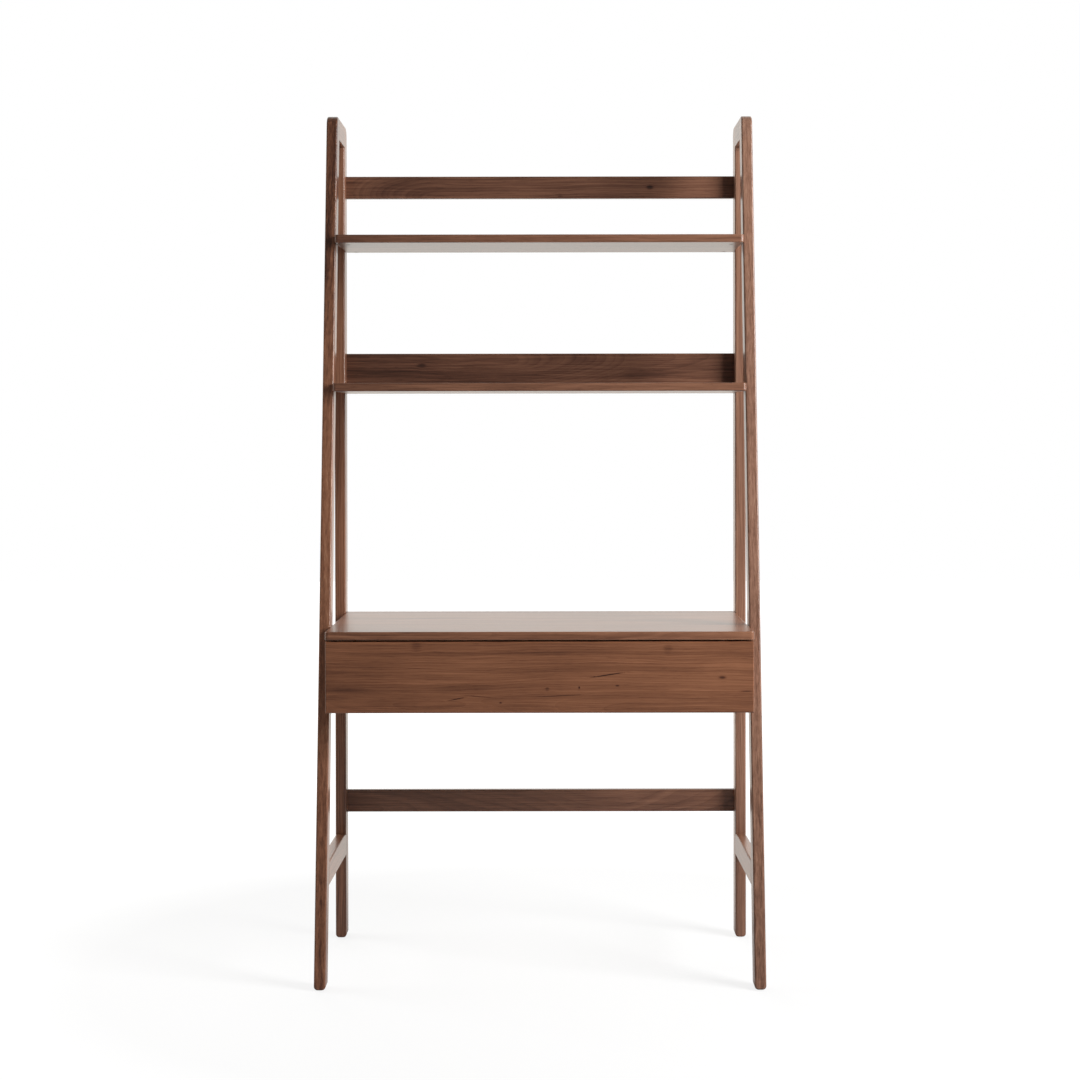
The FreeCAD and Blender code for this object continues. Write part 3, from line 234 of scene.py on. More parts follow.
# %% Walnut: rings, bands, fibres, pores and knots
def walnut(name, grain, face, start, heart, tone=0.0, warmth=0.0, dive=(0.0, 1.0, 0.0),
           knots_and_shading=(), bold=1.0, ends=()):
    """Lacquered walnut. grain and face are the directions of the fibres and of the board's
    face, start picks the stretch of trunk, heart is (sideways, behind) the heart's place in
    metres, and knots are (along, across, radius, stretch, slant, darkness, pull on the lines):
    marks of the wood, and patches of painted shade or painted light.
    tone lightens the board, and warmth takes a tenth of its green and a fifth of its blue
    away. dive is (from, to, how deep): the heart sinks between two places, which draws arches.
    bold strengthens the streaks. ends are (share, grain, face, start, heart, tone): where the
    share is 1, the figure is that of another board, which runs up through this one's end."""
    finish = Finish(name)
    place = finish.place()
    length, width, depth = board_axes(finish, place, grain, face)
    dark = 0.0
    for knot_and_shading in knots_and_shading:
        near = nearness(finish, length, width, knot_and_shading)
        width = width - (width - knot_and_shading[1]) * near * knot_and_shading[6]
        dark = near * near * knot_and_shading[5] + dark
    cut = [length + start, width, depth, start, *heart, PLAIN_LEVEL + tone]
    for share, end_grain, end_face, end_start, end_heart, end_tone in ends:
        end_length, end_width, end_depth = board_axes(finish, place, end_grain, end_face)
        other = [end_length + end_start, end_width, end_depth, end_start, *end_heart,
                 PLAIN_LEVEL + end_tone]
        covered = share(finish, place)
        cut = [mine + (theirs - mine) * covered for mine, theirs in zip(cut, other)]
    run, width, depth, start, heart_aside, heart_behind, level = cut
    width = width + (drawn_out(finish, "shiver", run, width, depth) - 0.5) * SHIVER
    aside = width + (drawn_out(finish, "wander", run, width, depth) - 0.5) * WANDER_ASIDE + heart_aside
    sunk = finish.noise(finish.joined(run * 0.9 + 7.0, width * 3.0, depth * 3.0))
    dived = finish.limited(length, dive[0], dive[1]) * dive[2]
    behind = depth + (sunk - 0.5) * WANDER_BACK + heart_behind + dived
    ring = finish.node("ShaderNodeVectorMath", {"operation": "LENGTH"},
                       {0: finish.joined(aside, behind, 0.0)}, "Value") / RING_SPACING
    part = finish.node("ShaderNodeMath", {"operation": "FRACT"}, {0: ring})
    late = part * part * part
    bands = finish.noise(finish.joined(run * 0.6, ring * 0.07, start), 4.0, 0.6)
    lines = finish.noise(finish.joined(run * 1.1, ring * 0.8, start + 3.0), 2.0)
    patches, streaks, fibres, pores = (
        drawn_out(finish, part, run, width, depth) for part in ("patches", "streaks", "fibres", "pores"))
    pores = finish.limited(pores, 0.60, 0.72)
    shade = level + (bands - 0.5) * BAND_SHARE + (lines - 0.5) * (LINE_SHARE * bold)
    shade = shade + (patches - 0.5) * PATCH_SHARE + (streaks - 0.5) * (STREAK_SHARE * bold)
    shade = shade + (fibres - 0.5) * FIBRE_SHARE - late * LATE_SHARE - pores * PORE_SHARE - dark
    tint = 1 - np.array([0.0, 0.1, 0.2]) * warmth
    stops = [(stop, tuple(tint * colour)) for stop, colour in WALNUT_STOPS]
    colour = finish.node("ShaderNodeValToRGB", {"stops": stops}, {"Fac": shade})
    relief = finish.bump(fibres * 0.35 - pores * 0.8, 0.2, 0.0002)
    return finish.set(Base_Color=colour, Roughness=0.34 + fibres * 0.08, Normal=relief,
                      Specular_IOR_Level=0.15, Coat_Weight=0.65, Coat_Roughness=0.24)


# %% [markdown]
# ## The walnut pieces
# Fibres run along a piece, never across it: up the rear legs, up the lean of the front legs,
# and from side to side in the shelves, rails and desk. The front leg's lean is read from the
# model, so that its grain stays parallel to its edges.

# %% Give each walnut piece its own stretch of trunk
leg_low, leg_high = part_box("front_leg_left")
wall_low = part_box("rear_leg_left")[0]
LEG_SHIFT = (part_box("top_rail_left")[0].y - leg_low.y) / (leg_high.z - leg_low.z)
UP, SIDEWAYS, BACK = (0, 0, 1), (1, 0, 0), (0, 1, 0)
LEANING = (0, LEG_SHIFT, 1)
print("front leg leans", round(math.degrees(math.atan(LEG_SHIFT)), 2), "degrees")

WALNUT_PIECES = {
    # node: (grain, face, start, heart, tone, warmth, and a dive where the face has an arch)
    # The right legs and top rail have a higher tone and a lower warmth than the left ones: partly their own
    # wood, partly painted light and painted sheen from the window on the right.
    "rear_leg_left": (UP, BACK, 3.1, (0.30, 0.09), 0.05, 0.9),
    "rear_leg_right": (UP, BACK, 9.4, (-0.22, 0.12), 0.17, -0.1),
    "front_leg_left": (LEANING, BACK, 15.2, (0.24, 0.20), 0.02, 1.2),
    "front_leg_right": (LEANING, BACK, 21.7, (-0.28, 0.16), 0.12, -0.4),
    "top_rail_left": (BACK, SIDEWAYS, 27.5, (0.2, 0.3), -0.02, 1.2),
    "top_rail_right": (BACK, SIDEWAYS, 31.3, (0.2, -0.3), 0.06, -0.7),
    "side_stretcher_left": (BACK, SIDEWAYS, 36.8, (0.2, 0.3), 0.0, 0.7),
    "side_stretcher_right": (BACK, SIDEWAYS, 41.2, (0.2, -0.3), 0.02, 0.5),
    "upper_shelf": (SIDEWAYS, UP, 46.6, (0.10, -1.55), -0.05, 0.4),
    "middle_shelf": (SIDEWAYS, UP, 52.9, (0.05, -1.21), 0.0, 0.6),
    "upper_back_rail": (SIDEWAYS, BACK, 58.3, (-1.735, -0.175), -0.11, 0.4, (-0.44, -0.24, -0.06)),
    "middle_back_panel": (SIDEWAYS, BACK, 63.7, (-1.362, -0.238), -0.11, 0.4, (-0.06, 0.20, 0.05)),
    "lower_back_rail": (SIDEWAYS, BACK, 69.1, (-0.27, 0.02), -0.14, 0.4),
    "desktop": (SIDEWAYS, UP, 75.8, (0.06, -0.69), 0.06, 1.1),
    "desk_side_left": (BACK, SIDEWAYS, 82.4, (0.9, 0.3), 0.0, 0.5),
    "desk_side_right": (BACK, SIDEWAYS, 88.6, (0.9, -0.3), 0.0, 0.5),
    "desk_back": (SIDEWAYS, BACK, 93.2, (-0.62, -0.15), 0.0, 0.6),
    "drawer_front": (SIDEWAYS, BACK, 99.5, (-0.60, 0.19), -0.05, 1.8),
}

# %% Knots, cracks, patches, and painted shade and light
KNOTS_AND_PAINTED_SHADING = {
    # node: (along, across, radius, stretch, slant, darkness, pull), lengths in metres. The thin
    # ones are cracks. The wide ones without a pull are darker patches, or paler where the
    # darkness is below zero. Most of those wide ones are painted shade or painted light, as
    # marked below.
    "drawer_front": [
        (-0.262, 0.734, 0.012, 1.0, 0.0, 0.14, 0.3), (0.273, 0.728, 0.011, 1.0, 0.0, 0.14, 0.3),
        (0.145, 0.673, 0.0012, 26.0, 0.15, 0.90, 0.9), (-0.177, 0.622, 0.0010, 18.0, 0.20, 0.55, 0.9),
        (-0.127, 0.627, 0.0010, 40.0, -0.08, 0.30, 0.9), (0.046, 0.629, 0.0010, 50.0, 0.05, 0.35, 0.9),
        (0.440, 0.638, 0.0012, 12.0, 0.0, 0.50, 0.9), (0.084, 0.646, 0.0032, 0.6, 0.0, 0.55, 0.9),
        (0.388, 0.667, 0.0036, 2.4, 0.0, 0.45, 0.9), (0.165, 0.650, 0.0022, 2.0, 0.0, 0.30, 0.9),
        (0.016, 0.643, 0.0040, 1.2, 0.0, 0.20, 0.9), (-0.083, 0.614, 0.0022, 1.4, 0.0, 0.35, 0.9),
        (-0.155, 0.646, 0.010, 9.0, 0.04, 0.13, 0.3), (-0.405, 0.642, 0.008, 7.0, -0.05, 0.14, 0.3),
        # The last two are painted: a pale patch of painted light at the right end, and a darker patch of
        # painted shade across the middle.
        (0.394, 0.690, 0.022, 3.0, 0.0, -0.12, 0.0), (0.0, 0.69, 0.05, 3.0, 0.0, 0.06, 0.0),
    ],
    "middle_back_panel": [
        (-0.279, 1.346, 0.006, 2.0, 0.0, 0.22, 0.9), (0.250, 1.325, 0.020, 3.5, 0.1, 0.08, 0.0),
        # A wide patch of painted shade over the left end.
        (-0.36, 1.340, 0.08, 2.5, 0.0, 0.10, 0.0),
    ],
    "upper_back_rail": [
        (0.259, 1.764, 0.0055, 1.6, 0.0, 0.28, 0.9), (0.047, 1.744, 0.004, 2.0, 0.0, 0.15, 0.9),
        # The last two are painted shade over the left end and painted light over the right end.
        (-0.40, 1.764, 0.08, 2.0, 0.0, 0.07, 0.0), (0.33, 1.764, 0.06, 2.0, 0.0, -0.06, 0.0),
    ],
    "desk_back": [(0.15, 0.66, 0.009, 2.0, 0.0, 0.25, 0.9)],
    # lower_back_rail: a patch of painted shade over the left end.
    "lower_back_rail": [(-0.35, 0.318, 0.06, 3.0, 0.0, 0.05, 0.0)],
    # desktop: painted shade at the left end of the front edge, painted light at its right end.
    "desktop": [(-0.38, 0.26, 0.06, 3.0, 0.0, 0.11, 0.0), (0.38, 0.26, 0.05, 3.0, 0.0, -0.06, 0.0)],
    # middle_shelf: painted shade at the left end, painted light at the right end.
    "middle_shelf": [(-0.42, 0.13, 0.10, 2.4, 0.0, 0.12, 0.0), (0.38, 0.13, 0.08, 2.0, 0.0, -0.04, 0.0)],
    # upper_shelf: a patch of painted shade at the left end.
    "upper_shelf": [(-0.42, 0.01, 0.12, 2.0, 0.0, 0.12, 0.0)],
    # The legs' wide patches are painted shade: near the foot of each leg, and at the top of the front-left
    # leg.
    "rear_leg_left": [(0.10, 0.469, 0.16, 2.0, 0.0, 0.16, 0.0)],
    "rear_leg_right": [(0.10, -0.469, 0.16, 2.0, 0.0, 0.15, 0.0)],
    "front_leg_left": [(0.10, 0.469, 0.18, 2.0, 0.0, 0.10, 0.0), (1.75, 0.469, 0.18, 2.0, 0.0, 0.16, 0.0)],
    "front_leg_right": [(0.10, -0.469, 0.18, 2.0, 0.0, 0.12, 0.0)],
}
print(sum(len(marks) for marks in KNOTS_AND_PAINTED_SHADING.values()), "knots, cracks and patches")

# %% [markdown]
# ## Ends of the top rails
# Each top rail lies on the ends of its two legs. The legs' figure is drawn on through those
# ends, so that a frame reads as one upright from the foot to the top.

# %% Carry the legs' figure through the rails' ends, and dress all pieces
BLEND = 0.0003    # metres over which one figure gives way to the other
leg_back = leg_high.y - LEG_SHIFT * leg_high.z


def front_end(finish, place):
    """1 in front of the line in which the front leg's rear edge runs on, 0 behind it."""
    return 1 - finish.limited(finish.along(place, (0, 1, -LEG_SHIFT)), leg_back - BLEND, leg_back)


def wall_end(finish, place):
    """1 behind the front face of the rear leg, 0 in front of it."""
    return finish.limited(finish.along(place, BACK), wall_low.y, wall_low.y + BLEND)


def leg_end(share, leg, tone):
    """One leg's figure for a rail's end, with the tone that the leg has at the top."""
    return (share, *WALNUT_PIECES[leg][:4], tone)


# The front-left leg's top tone of -0.14 takes in the painted shade at that leg's top, and the right legs'
# tones carry their painted light.
ENDS = {
    "top_rail_left": [leg_end(front_end, "front_leg_left", -0.14),
                      leg_end(wall_end, "rear_leg_left", 0.05)],
    "top_rail_right": [leg_end(front_end, "front_leg_right", 0.12),
                       leg_end(wall_end, "rear_leg_right", 0.17)],
}
BOLD, BOLD_PIECES = 1.8, {"rear_leg_left", "rear_leg_right", "front_leg_left", "front_leg_right",
                          "top_rail_left", "top_rail_right", "desktop"}
for node, cut in WALNUT_PIECES.items():
    nodes[node].material_slots[0].material = walnut(
        f"walnut_{node}", *cut, knots_and_shading=KNOTS_AND_PAINTED_SHADING.get(node, ()), ends=ENDS.get(node, ()),
        bold=BOLD if node in BOLD_PIECES else 1.0)
print(len(WALNUT_PIECES), "walnut pieces")

# %% [markdown]
# ## The paler woods
# A drawer box is usually made of a plain light wood, its bottom of plywood, and dowels of
# raw beech. They have no bold rings, so drawn-out noise alone is enough.

# %% Light hardwood, plywood and beech
def light_wood(name, grain, face, light, dark, rough):
    """A plain close-grained wood between two colours, in fine lines along the grain."""
    finish = Finish(name)
    place = finish.place()
    length = finish.along(place, grain)
    width = finish.along(place, np.cross(grain, face))
    depth = finish.along(place, face)
    broad = finish.noise(finish.joined(length * 2.0, width * 24.0, depth * 24.0), 3.0)
    fine = finish.noise(finish.joined(length * 14.0, width * 420.0, depth * 420.0), 3.0, 0.6)
    shade = finish.limited(broad * 0.6 + fine * 0.5, 0.35, 0.75)
    colour = finish.node("ShaderNodeValToRGB", {"stops": [(0.0, dark), (1.0, light)]}, {"Fac": shade})
    return finish.set(Base_Color=colour, Roughness=rough + fine * 0.12,
                      Normal=finish.bump(fine, 0.15, 0.0002))


for node, grain, face in (("drawer_side_left", BACK, SIDEWAYS), ("drawer_side_right", BACK, SIDEWAYS),
                          ("drawer_box_front", SIDEWAYS, BACK), ("drawer_back", SIDEWAYS, BACK)):
    nodes[node].material_slots[0].material = light_wood(
        f"light_hardwood_{node}", grain, face, (0.60, 0.42, 0.25), (0.44, 0.28, 0.15), 0.42)
nodes["drawer_bottom"].material_slots[0].material = light_wood(
    "plywood", SIDEWAYS, UP, (0.62, 0.46, 0.28), (0.50, 0.34, 0.19), 0.5)
beech = light_wood("beech_dowel", SIDEWAYS, UP, (0.60, 0.43, 0.27), (0.50, 0.33, 0.19), 0.62)
for node in ("frame_dowels_left", "frame_dowels_right", "rail_dowels", "desk_dowels", "drawer_dowels"):
    nodes[node].material_slots[0].material = beech
print("drawer box, plywood bottom and dowels")

# %% [markdown]
# ## Metal, nylon and rubber
# Zinc plating is a soft grey metal whose brightness drifts in cloudy patches. Slide members
# are rolled from plated strip, so their fine scratches run along them. The foot glides are
# dark nylon and the drawer's bumpers clear rubber, cloudy rather than like glass.

# %% Small fittings' finishes
def zinc(name, tint, rough, stretch):
    """Plated steel: cloudy patches of brightness, and scratches drawn out by stretch."""
    finish = Finish(name)
    place = finish.place()
    cloud = finish.noise(finish.node("ShaderNodeVectorMath", {"operation": "MULTIPLY"},
                                     {0: place, 1: (260.0, 260.0, 260.0)}), 3.0)
    scratch = finish.noise(finish.node("ShaderNodeVectorMath", {"operation": "MULTIPLY"},
                                       {0: place, 1: stretch}), 2.0)
    low = tuple(part * 0.82 for part in tint)
    colour = finish.node("ShaderNodeValToRGB", {"stops": [(0.3, low), (0.7, tint)]}, {"Fac": cloud})
    return finish.set(Base_Color=colour, Metallic=1.0, Roughness=rough + scratch * 0.16,
                      Normal=finish.bump(scratch, 0.1, 0.0001))


plated = zinc("zinc_plated_steel", (0.64, 0.64, 0.62), 0.26, (500.0, 500.0, 500.0))
rolled = zinc("rolled_slide_steel", (0.68, 0.68, 0.68), 0.22, (1400.0, 12.0, 1400.0))
ball_steel = zinc("polished_ball_steel", (0.74, 0.74, 0.75), 0.06, (90.0, 90.0, 90.0))


def moulded(name, light, dark, rough, scale):
    """Plastic or rubber: a faint drift of colour and a fine texture from the mould."""
    finish = Finish(name)
    grain = finish.noise(finish.node("ShaderNodeVectorMath", {"operation": "SCALE"},
                                     {0: finish.place(), "Scale": scale}), 3.0)
    colour = finish.node("ShaderNodeValToRGB", {"stops": [(0.3, dark), (0.7, light)]}, {"Fac": grain})
    return finish.set(Base_Color=colour, Roughness=rough + grain * 0.1,
                      Normal=finish.bump(grain, 0.12, 0.0002))


nylon = moulded("dark_nylon", (0.060, 0.045, 0.036), (0.040, 0.030, 0.025), 0.45, 900.0)
rubber = moulded("cloudy_rubber", (0.66, 0.66, 0.63), (0.58, 0.58, 0.55), 0.35, 500.0)

SLOT_FINISHES = {"zinc_steel": plated, "slide_steel": rolled, "ball_steel": ball_steel,
                 "nylon": nylon, "clear_rubber": rubber}
for part in frame["record"]["subparts"]:
    if part["material_slot"] in SLOT_FINISHES:
        nodes[part["node"]].material_slots[0].material = SLOT_FINISHES[part["material_slot"]]
print("finishes:", ", ".join(sorted(SLOT_FINISHES)))

# %% [markdown]
# ## Small fittings from turned profiles
# Bolts, screws, glides, bumpers and dowels are all a profile carried round an axis. The
# profile's radius may change with the angle too: half the flats over a cosine draws the
# hexagon of a key socket, and the nearer of an arm's end and side draws a cross recess. Each
# shape is made once, about the Z axis with its head up at zero, and copied to its places.

# %% Skin and turned shapes
def skin(rings):
    """Points, quads and end triangles of a closed skin over rings of points, shaped (rings,
    points, 3). Each end ring is closed by a fan of triangles about its middle. The faces are
    turned over where the sum of p0 . (p1 x p2), a measure of volume, says they face inward."""
    count, around, _ = rings.shape
    index = np.arange(count * around).reshape(count, around)
    after = np.roll(index, -1, 1)
    quads = np.stack([index[:-1], after[:-1], after[1:], index[1:]], -1).reshape(-1, 4)
    ends = np.full((2, around), count * around) + [[0], [1]]
    fans = np.concatenate([np.stack([ends[0], after[0], index[0]], -1),
                           np.stack([ends[1], index[-1], after[-1]], -1)])
    points = np.concatenate([rings.reshape(-1, 3), rings[[0, -1]].mean(1)])
    first, second, third = np.swapaxes(points[quads[:, :3]], 0, 1)
    if (first * np.cross(second, third)).sum() < 0:
        quads, fans = quads[:, ::-1], fans[:, ::-1]
    return points, quads, fans


def turned(profile, columns=32):
    """A profile carried round +Z: rows of (height, radius) from the lower end up over the
    outside. A radius is a number, or a function that gives one for each angle."""
    angle = np.arange(columns) * (2 * np.pi / columns)
    radius = np.stack([far(angle) if callable(far) else np.full(columns, far) for _, far in profile])
    height = np.array([high for high, _ in profile])[:, None] + 0 * radius
    return skin(np.stack([radius * np.cos(angle), radius * np.sin(angle), height], -1))


def hexagon(flats):
    """Half the flats / cosine of the angle from the nearest flat's middle."""
    return lambda angle: flats / 2 / np.cos(angle % (np.pi / 3) - np.pi / 6)


def cross(reach, arm):
    """The end or the side of the nearest arm, whichever is closer to the middle."""
    def radius(angle):
        off = np.abs((angle + np.pi / 4) % (np.pi / 2) - np.pi / 4)
        return np.minimum(reach / np.cos(off), arm / 2 / np.maximum(np.sin(off), 0.01))
    return radius


def fluted(radius, depth, flutes):
    """A radius that dips by depth in each flute: a cosine of flutes times the angle."""
    return lambda angle: radius - depth * (0.5 - 0.5 * np.cos(flutes * angle))


def placed(node, shape, spots, finish, body="frame"):
    """The piece that replaces a node: the shape once at each spot, which is (place, way), with
    its +Z turned to point that way."""
    points, quads, fans = shape
    turns = [np.array(Vector(way).to_track_quat("Z", "Y").to_matrix()) for _, way in spots]
    whole = np.concatenate([points @ turn.T + place for turn, (place, _) in zip(turns, spots)])
    step = (np.arange(len(spots)) * len(points))[:, None, None]
    faces = (quads + step).reshape(-1, 4).tolist() + (fans + step).reshape(-1, 3).tolist()
    mesh = bpy.data.meshes.new(f"{node}_detailed")
    mesh.from_pydata(whole.tolist(), [], faces)
    mesh.materials.append(finish)
    mesh.shade_smooth()
    mesh.set_sharp_from_angle(angle=math.radians(35))
    made = bpy.data.objects.new(mesh.name, mesh)
    bpy.context.scene.collection.objects.link(made)
    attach(made, body)
    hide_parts(node)
    print(node, len(spots), "copies,", len(faces), "faces")
    return made


# %% Connector bolts with a key socket
def thread(low, high, pitch, root, crest):
    """Rows that step between root and crest radius, half a pitch apart."""
    heights = np.arange(low, high, pitch / 2)
    return [(height, crest if step % 2 else root) for step, height in enumerate(heights)]


def bolt(long):
    """A flat round head of 12 mm with a 4 mm key socket, on a 6 mm shank with a thread."""
    head_tall, half_shank, half_head, flats = 0.0025, 0.003, 0.006, 0.004
    tip = -head_tall - long
    shank = [(tip, 0.0021), (tip + 0.0006, 0.0025),
             *thread(tip + 0.001, tip + 0.021, 0.001, 0.0026, half_shank),
             (tip + 0.0215, half_shank), (-head_tall, half_shank)]
    head = [(-head_tall, 0.0057), (-0.0022, half_head), (-0.0009, half_head), (-0.0003, 0.0056),
            (0, 0.0046)]
    socket = [(0, hexagon(0.0044)), (-0.0003, hexagon(flats)), (-0.0019, hexagon(flats))]
    return turned([*shank, *head, *socket], 36)


def both_sides(node, spots, proud=0.0):
    """Spots on the left and right for (y, z), each at the node's outermost reach across the
    desk and pointing away from the middle."""
    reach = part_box(node)[1].x + proud
    return [((side * reach, y, z), (side, 0, 0)) for side in (-1, 1) for y, z in spots]


# Heights above the floor, and depths from the middle of the desk towards the wall.
UPPER_SHELF_HIGH, MIDDLE_SHELF_HIGH, SHELF_REAR = 1.620, 1.288, 0.2285
RAIL_HIGHS, RAIL_DEEP = (0.318, 1.326, 1.764), 0.2535
LOWER_BOLT_HIGH, UPPER_BOLT_HIGH, REAR_LEG_DEEP = 0.622, 0.725, 0.2395
placed("shelf_bolts", bolt(0.055), both_sides("shelf_bolts", [
    (0.02501, UPPER_SHELF_HIGH), (-0.02954, MIDDLE_SHELF_HIGH),
    (SHELF_REAR, UPPER_SHELF_HIGH), (SHELF_REAR, MIDDLE_SHELF_HIGH)]), plated)
placed("rail_bolts", bolt(0.055), both_sides("rail_bolts", [
    (RAIL_DEEP, high) for high in RAIL_HIGHS]), plated)
placed("desk_bolts", bolt(0.033), both_sides("desk_bolts", [
    (-0.13897, LOWER_BOLT_HIGH), (-0.12204, UPPER_BOLT_HIGH),
    (REAR_LEG_DEEP, LOWER_BOLT_HIGH), (REAR_LEG_DEEP, UPPER_BOLT_HIGH)]), plated)


# %% Screws with a cross recess
CROWN = 0.00045    # how far a screw's domed head stands proud of its seat


def screw(head, cap, shank, long, recess):
    """A domed head whose underside narrows to the shank, with a cross recess and a point."""
    tip = -cap - long
    stem = [(tip, 0.0001), (tip + 0.003, shank * 0.62),
            *thread(tip + 0.0035, -cap - 0.0015, 0.0014, shank * 0.68, shank),
            (-cap - 0.0012, shank * 0.8), (-cap, shank * 0.8)]
    crown = [(-CROWN, head), (-0.00025, head - 0.0001), (0, head * 0.72)]
    socket = [(0, cross(head * 0.62, head * 0.26)), (-recess, cross(head * 0.50, head * 0.22)),
              (-recess * 1.01, cross(head * 0.20, head * 0.16))]
    return turned([*stem, *crown, *socket])


def inward(x, z, rows):
    """Spots on the left and right at height z, one for each y, pointing to the middle."""
    return [((side * x, y, z), (-side, 0, 0)) for side in (-1, 1) for y in rows]


case_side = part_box("desk_side_right")[0].x
BRACKET_HIGH, BRACKET_THICK, BRACKET_HOLE = 0.747, 0.002, 0.0144
BRACKET_ROWS = (-0.1745, 0.1635)
SLIDE_HIGH, SLIDE_DEEP, SLIDE_THICK, SLIDE_SCREW_STEP = 0.655, -0.0175, 0.0012, 0.19
SLIDE_ROWS = (SLIDE_DEEP - SLIDE_SCREW_STEP, SLIDE_DEEP, SLIDE_DEEP + SLIDE_SCREW_STEP)
BOX_JOINT_HIGHS = (0.631, 0.681)
under_top = [((side * (case_side - BRACKET_HOLE), y, BRACKET_HIGH - BRACKET_THICK - CROWN), (0, 0, -1))
             for side in (-1, 1) for y in BRACKET_ROWS]
on_sides = inward(case_side - BRACKET_THICK - CROWN, BRACKET_HIGH - BRACKET_HOLE, BRACKET_ROWS)
placed("bracket_screws", screw(0.003, BRACKET_THICK, 0.0016, 0.014, 0.0004),
       on_sides + under_top, plated)
placed("slide_cabinet_screws", screw(0.003, SLIDE_THICK, 0.0016, 0.014, 0.0004),
       inward(case_side - SLIDE_THICK - CROWN, SLIDE_HIGH, SLIDE_ROWS), plated)
placed("slide_drawer_screws", screw(0.003, SLIDE_THICK, 0.0016, 0.010, 0.0004),
       both_sides("slide_drawer_screws", [(y, SLIDE_HIGH) for y in SLIDE_ROWS], CROWN),
       plated, "drawer")
placed("drawer_face_screws", screw(0.004, 0.0018, 0.002, 0.024, 0.0014),
       [((x, -0.2327, z), BACK) for x in (-0.3, 0.3) for z in BOX_JOINT_HIGHS],
       plated, "drawer")
placed("wall_hanger_screws", screw(0.003, 0.002, 0.0016, 0.011, 0.0014),
       [((x, 0.2625, z), BACK) for x in (-0.38, 0.38) for z in (1.749, 1.779)], plated)

# %% Foot glides and bumpers
FRAME_ASIDE = 0.469    # from the middle of the desk to the middle of a side frame
glide = turned([(-0.014, 0.0008), (-0.0132, 0.0018),
                *thread(-0.0125, -0.0045, 0.002, 0.00165, 0.002), (-0.004, 0.0017),
                (-0.002, 0.0017), (-0.002, 0.0047), (-0.0017, 0.005), (-0.0011, 0.005),
                (-0.0005, 0.0046), (-0.0001, 0.0037), (0, 0.0026)])
placed("foot_glides", glide, [((x, y, 0), (0, 0, -1)) for x in (-FRAME_ASIDE, FRAME_ASIDE)
                              for y in (REAR_LEG_DEEP, -0.24084)], nylon)
DOME_TALL, HALF_BUMPER = 0.0012, 0.005
rise = np.linspace(0, np.pi / 2 - 0.15, 7)
dome = zip(-DOME_TALL + DOME_TALL * np.sin(rise), HALF_BUMPER * np.cos(rise))
placed("drawer_bumpers", turned([(-0.0017, 0.0046), (-0.0014, HALF_BUMPER), *dome]),
       [((x, -0.2448, 0.730), BACK) for x in (-0.4475, 0.4475)], rubber, "drawer")


# %% Fluted dowels
def dowel(radius, long):
    """A fluted beech pin with blunted ends, from zero down to its full length."""
    blunt, taper, side = 0.001, 0.0012, fluted(radius, 0.0003, 16)
    rows = [(-long, radius - blunt), (-long + taper, side), (-taper, side), (0, radius - blunt)]
    return turned(rows, 96)


DOWEL_TOP_HIGH, RAIL_DOWEL_STEP = 1.873, 0.016
for side, name in ((-1, "left"), (1, "right")):
    x = side * FRAME_ASIDE
    spots = [((x, y, DOWEL_TOP_HIGH), UP) for y in (0.05062, 0.07662, 0.2265, 0.2525)]
    spots += [((x, 0.2305, z), BACK) for z in (0.207, 0.233)]
    spots += [((x, -0.15971, z), BACK) for z in (0.219, 0.245)]
    placed(f"frame_dowels_{name}", dowel(0.004, 0.036), spots, beech)
placed("rail_dowels", dowel(0.004, 0.032), both_sides("rail_dowels", [
    (RAIL_DEEP, high + step) for high in RAIL_HIGHS
    for step in (-RAIL_DOWEL_STEP, RAIL_DOWEL_STEP)]), beech)
placed("desk_dowels", dowel(0.004, 0.032), both_sides("desk_dowels", [
    (0.2425, 0.635), (0.2425, 0.712)]), beech)
placed("drawer_dowels", dowel(0.003, 0.028), both_sides("drawer_dowels", [
    (y, z) for y in (-0.2405, 0.1975) for z in BOX_JOINT_HIGHS]), beech, "drawer")

# %% [markdown]
# ## Bent strips: brackets and slide members
# A corner bracket and the members of a ball slide are bent from flat strip. Each is a path
# of straights and arcs, with the strip's rectangle carried along it. The members' edges are
# rolled round the rows of balls. A bracket's ends are rounded by narrowing the strip there.

# %% Strap: a strip of metal along a bent path
def arc(high, out, radius, start, stop, steps=7):
    """Points (high, out) round a centre, between two angles in degrees from straight out."""
    turn = np.radians(np.linspace(start, stop, steps))
    return np.stack([high + radius * np.sin(turn), out + radius * np.cos(turn)], -1)


def strap(path, half_wide, thick, edge=0.0002):
    """A strip about a path of (high, out) points: at each point a rectangle with blunted
    corners, across the path by half_wide to each side and thick along the path's normal."""
    step = np.gradient(path, axis=0)
    step = step / np.linalg.norm(step, axis=1, keepdims=True)
    normal = np.stack([step[:, 1], -step[:, 0]], -1)
    across = np.array([1, 1, 1, 1, -1, -1, -1, -1]), np.array([-1, 0, 0, -1, 1, 0, 0, 1]) * edge
    through = np.array([1, 1, -1, -1, -1, -1, 1, 1]), np.array([0, -1, 1, 0, 0, 1, -1, 0]) * edge
    side = np.broadcast_to(half_wide, len(path))[:, None] * across[0] + across[1]
    up = thick / 2 * through[0] + through[1]
    flat = path[:, None] + normal[:, None] * up[None, :, None]
    return skin(np.concatenate([side[..., None], flat], -1))


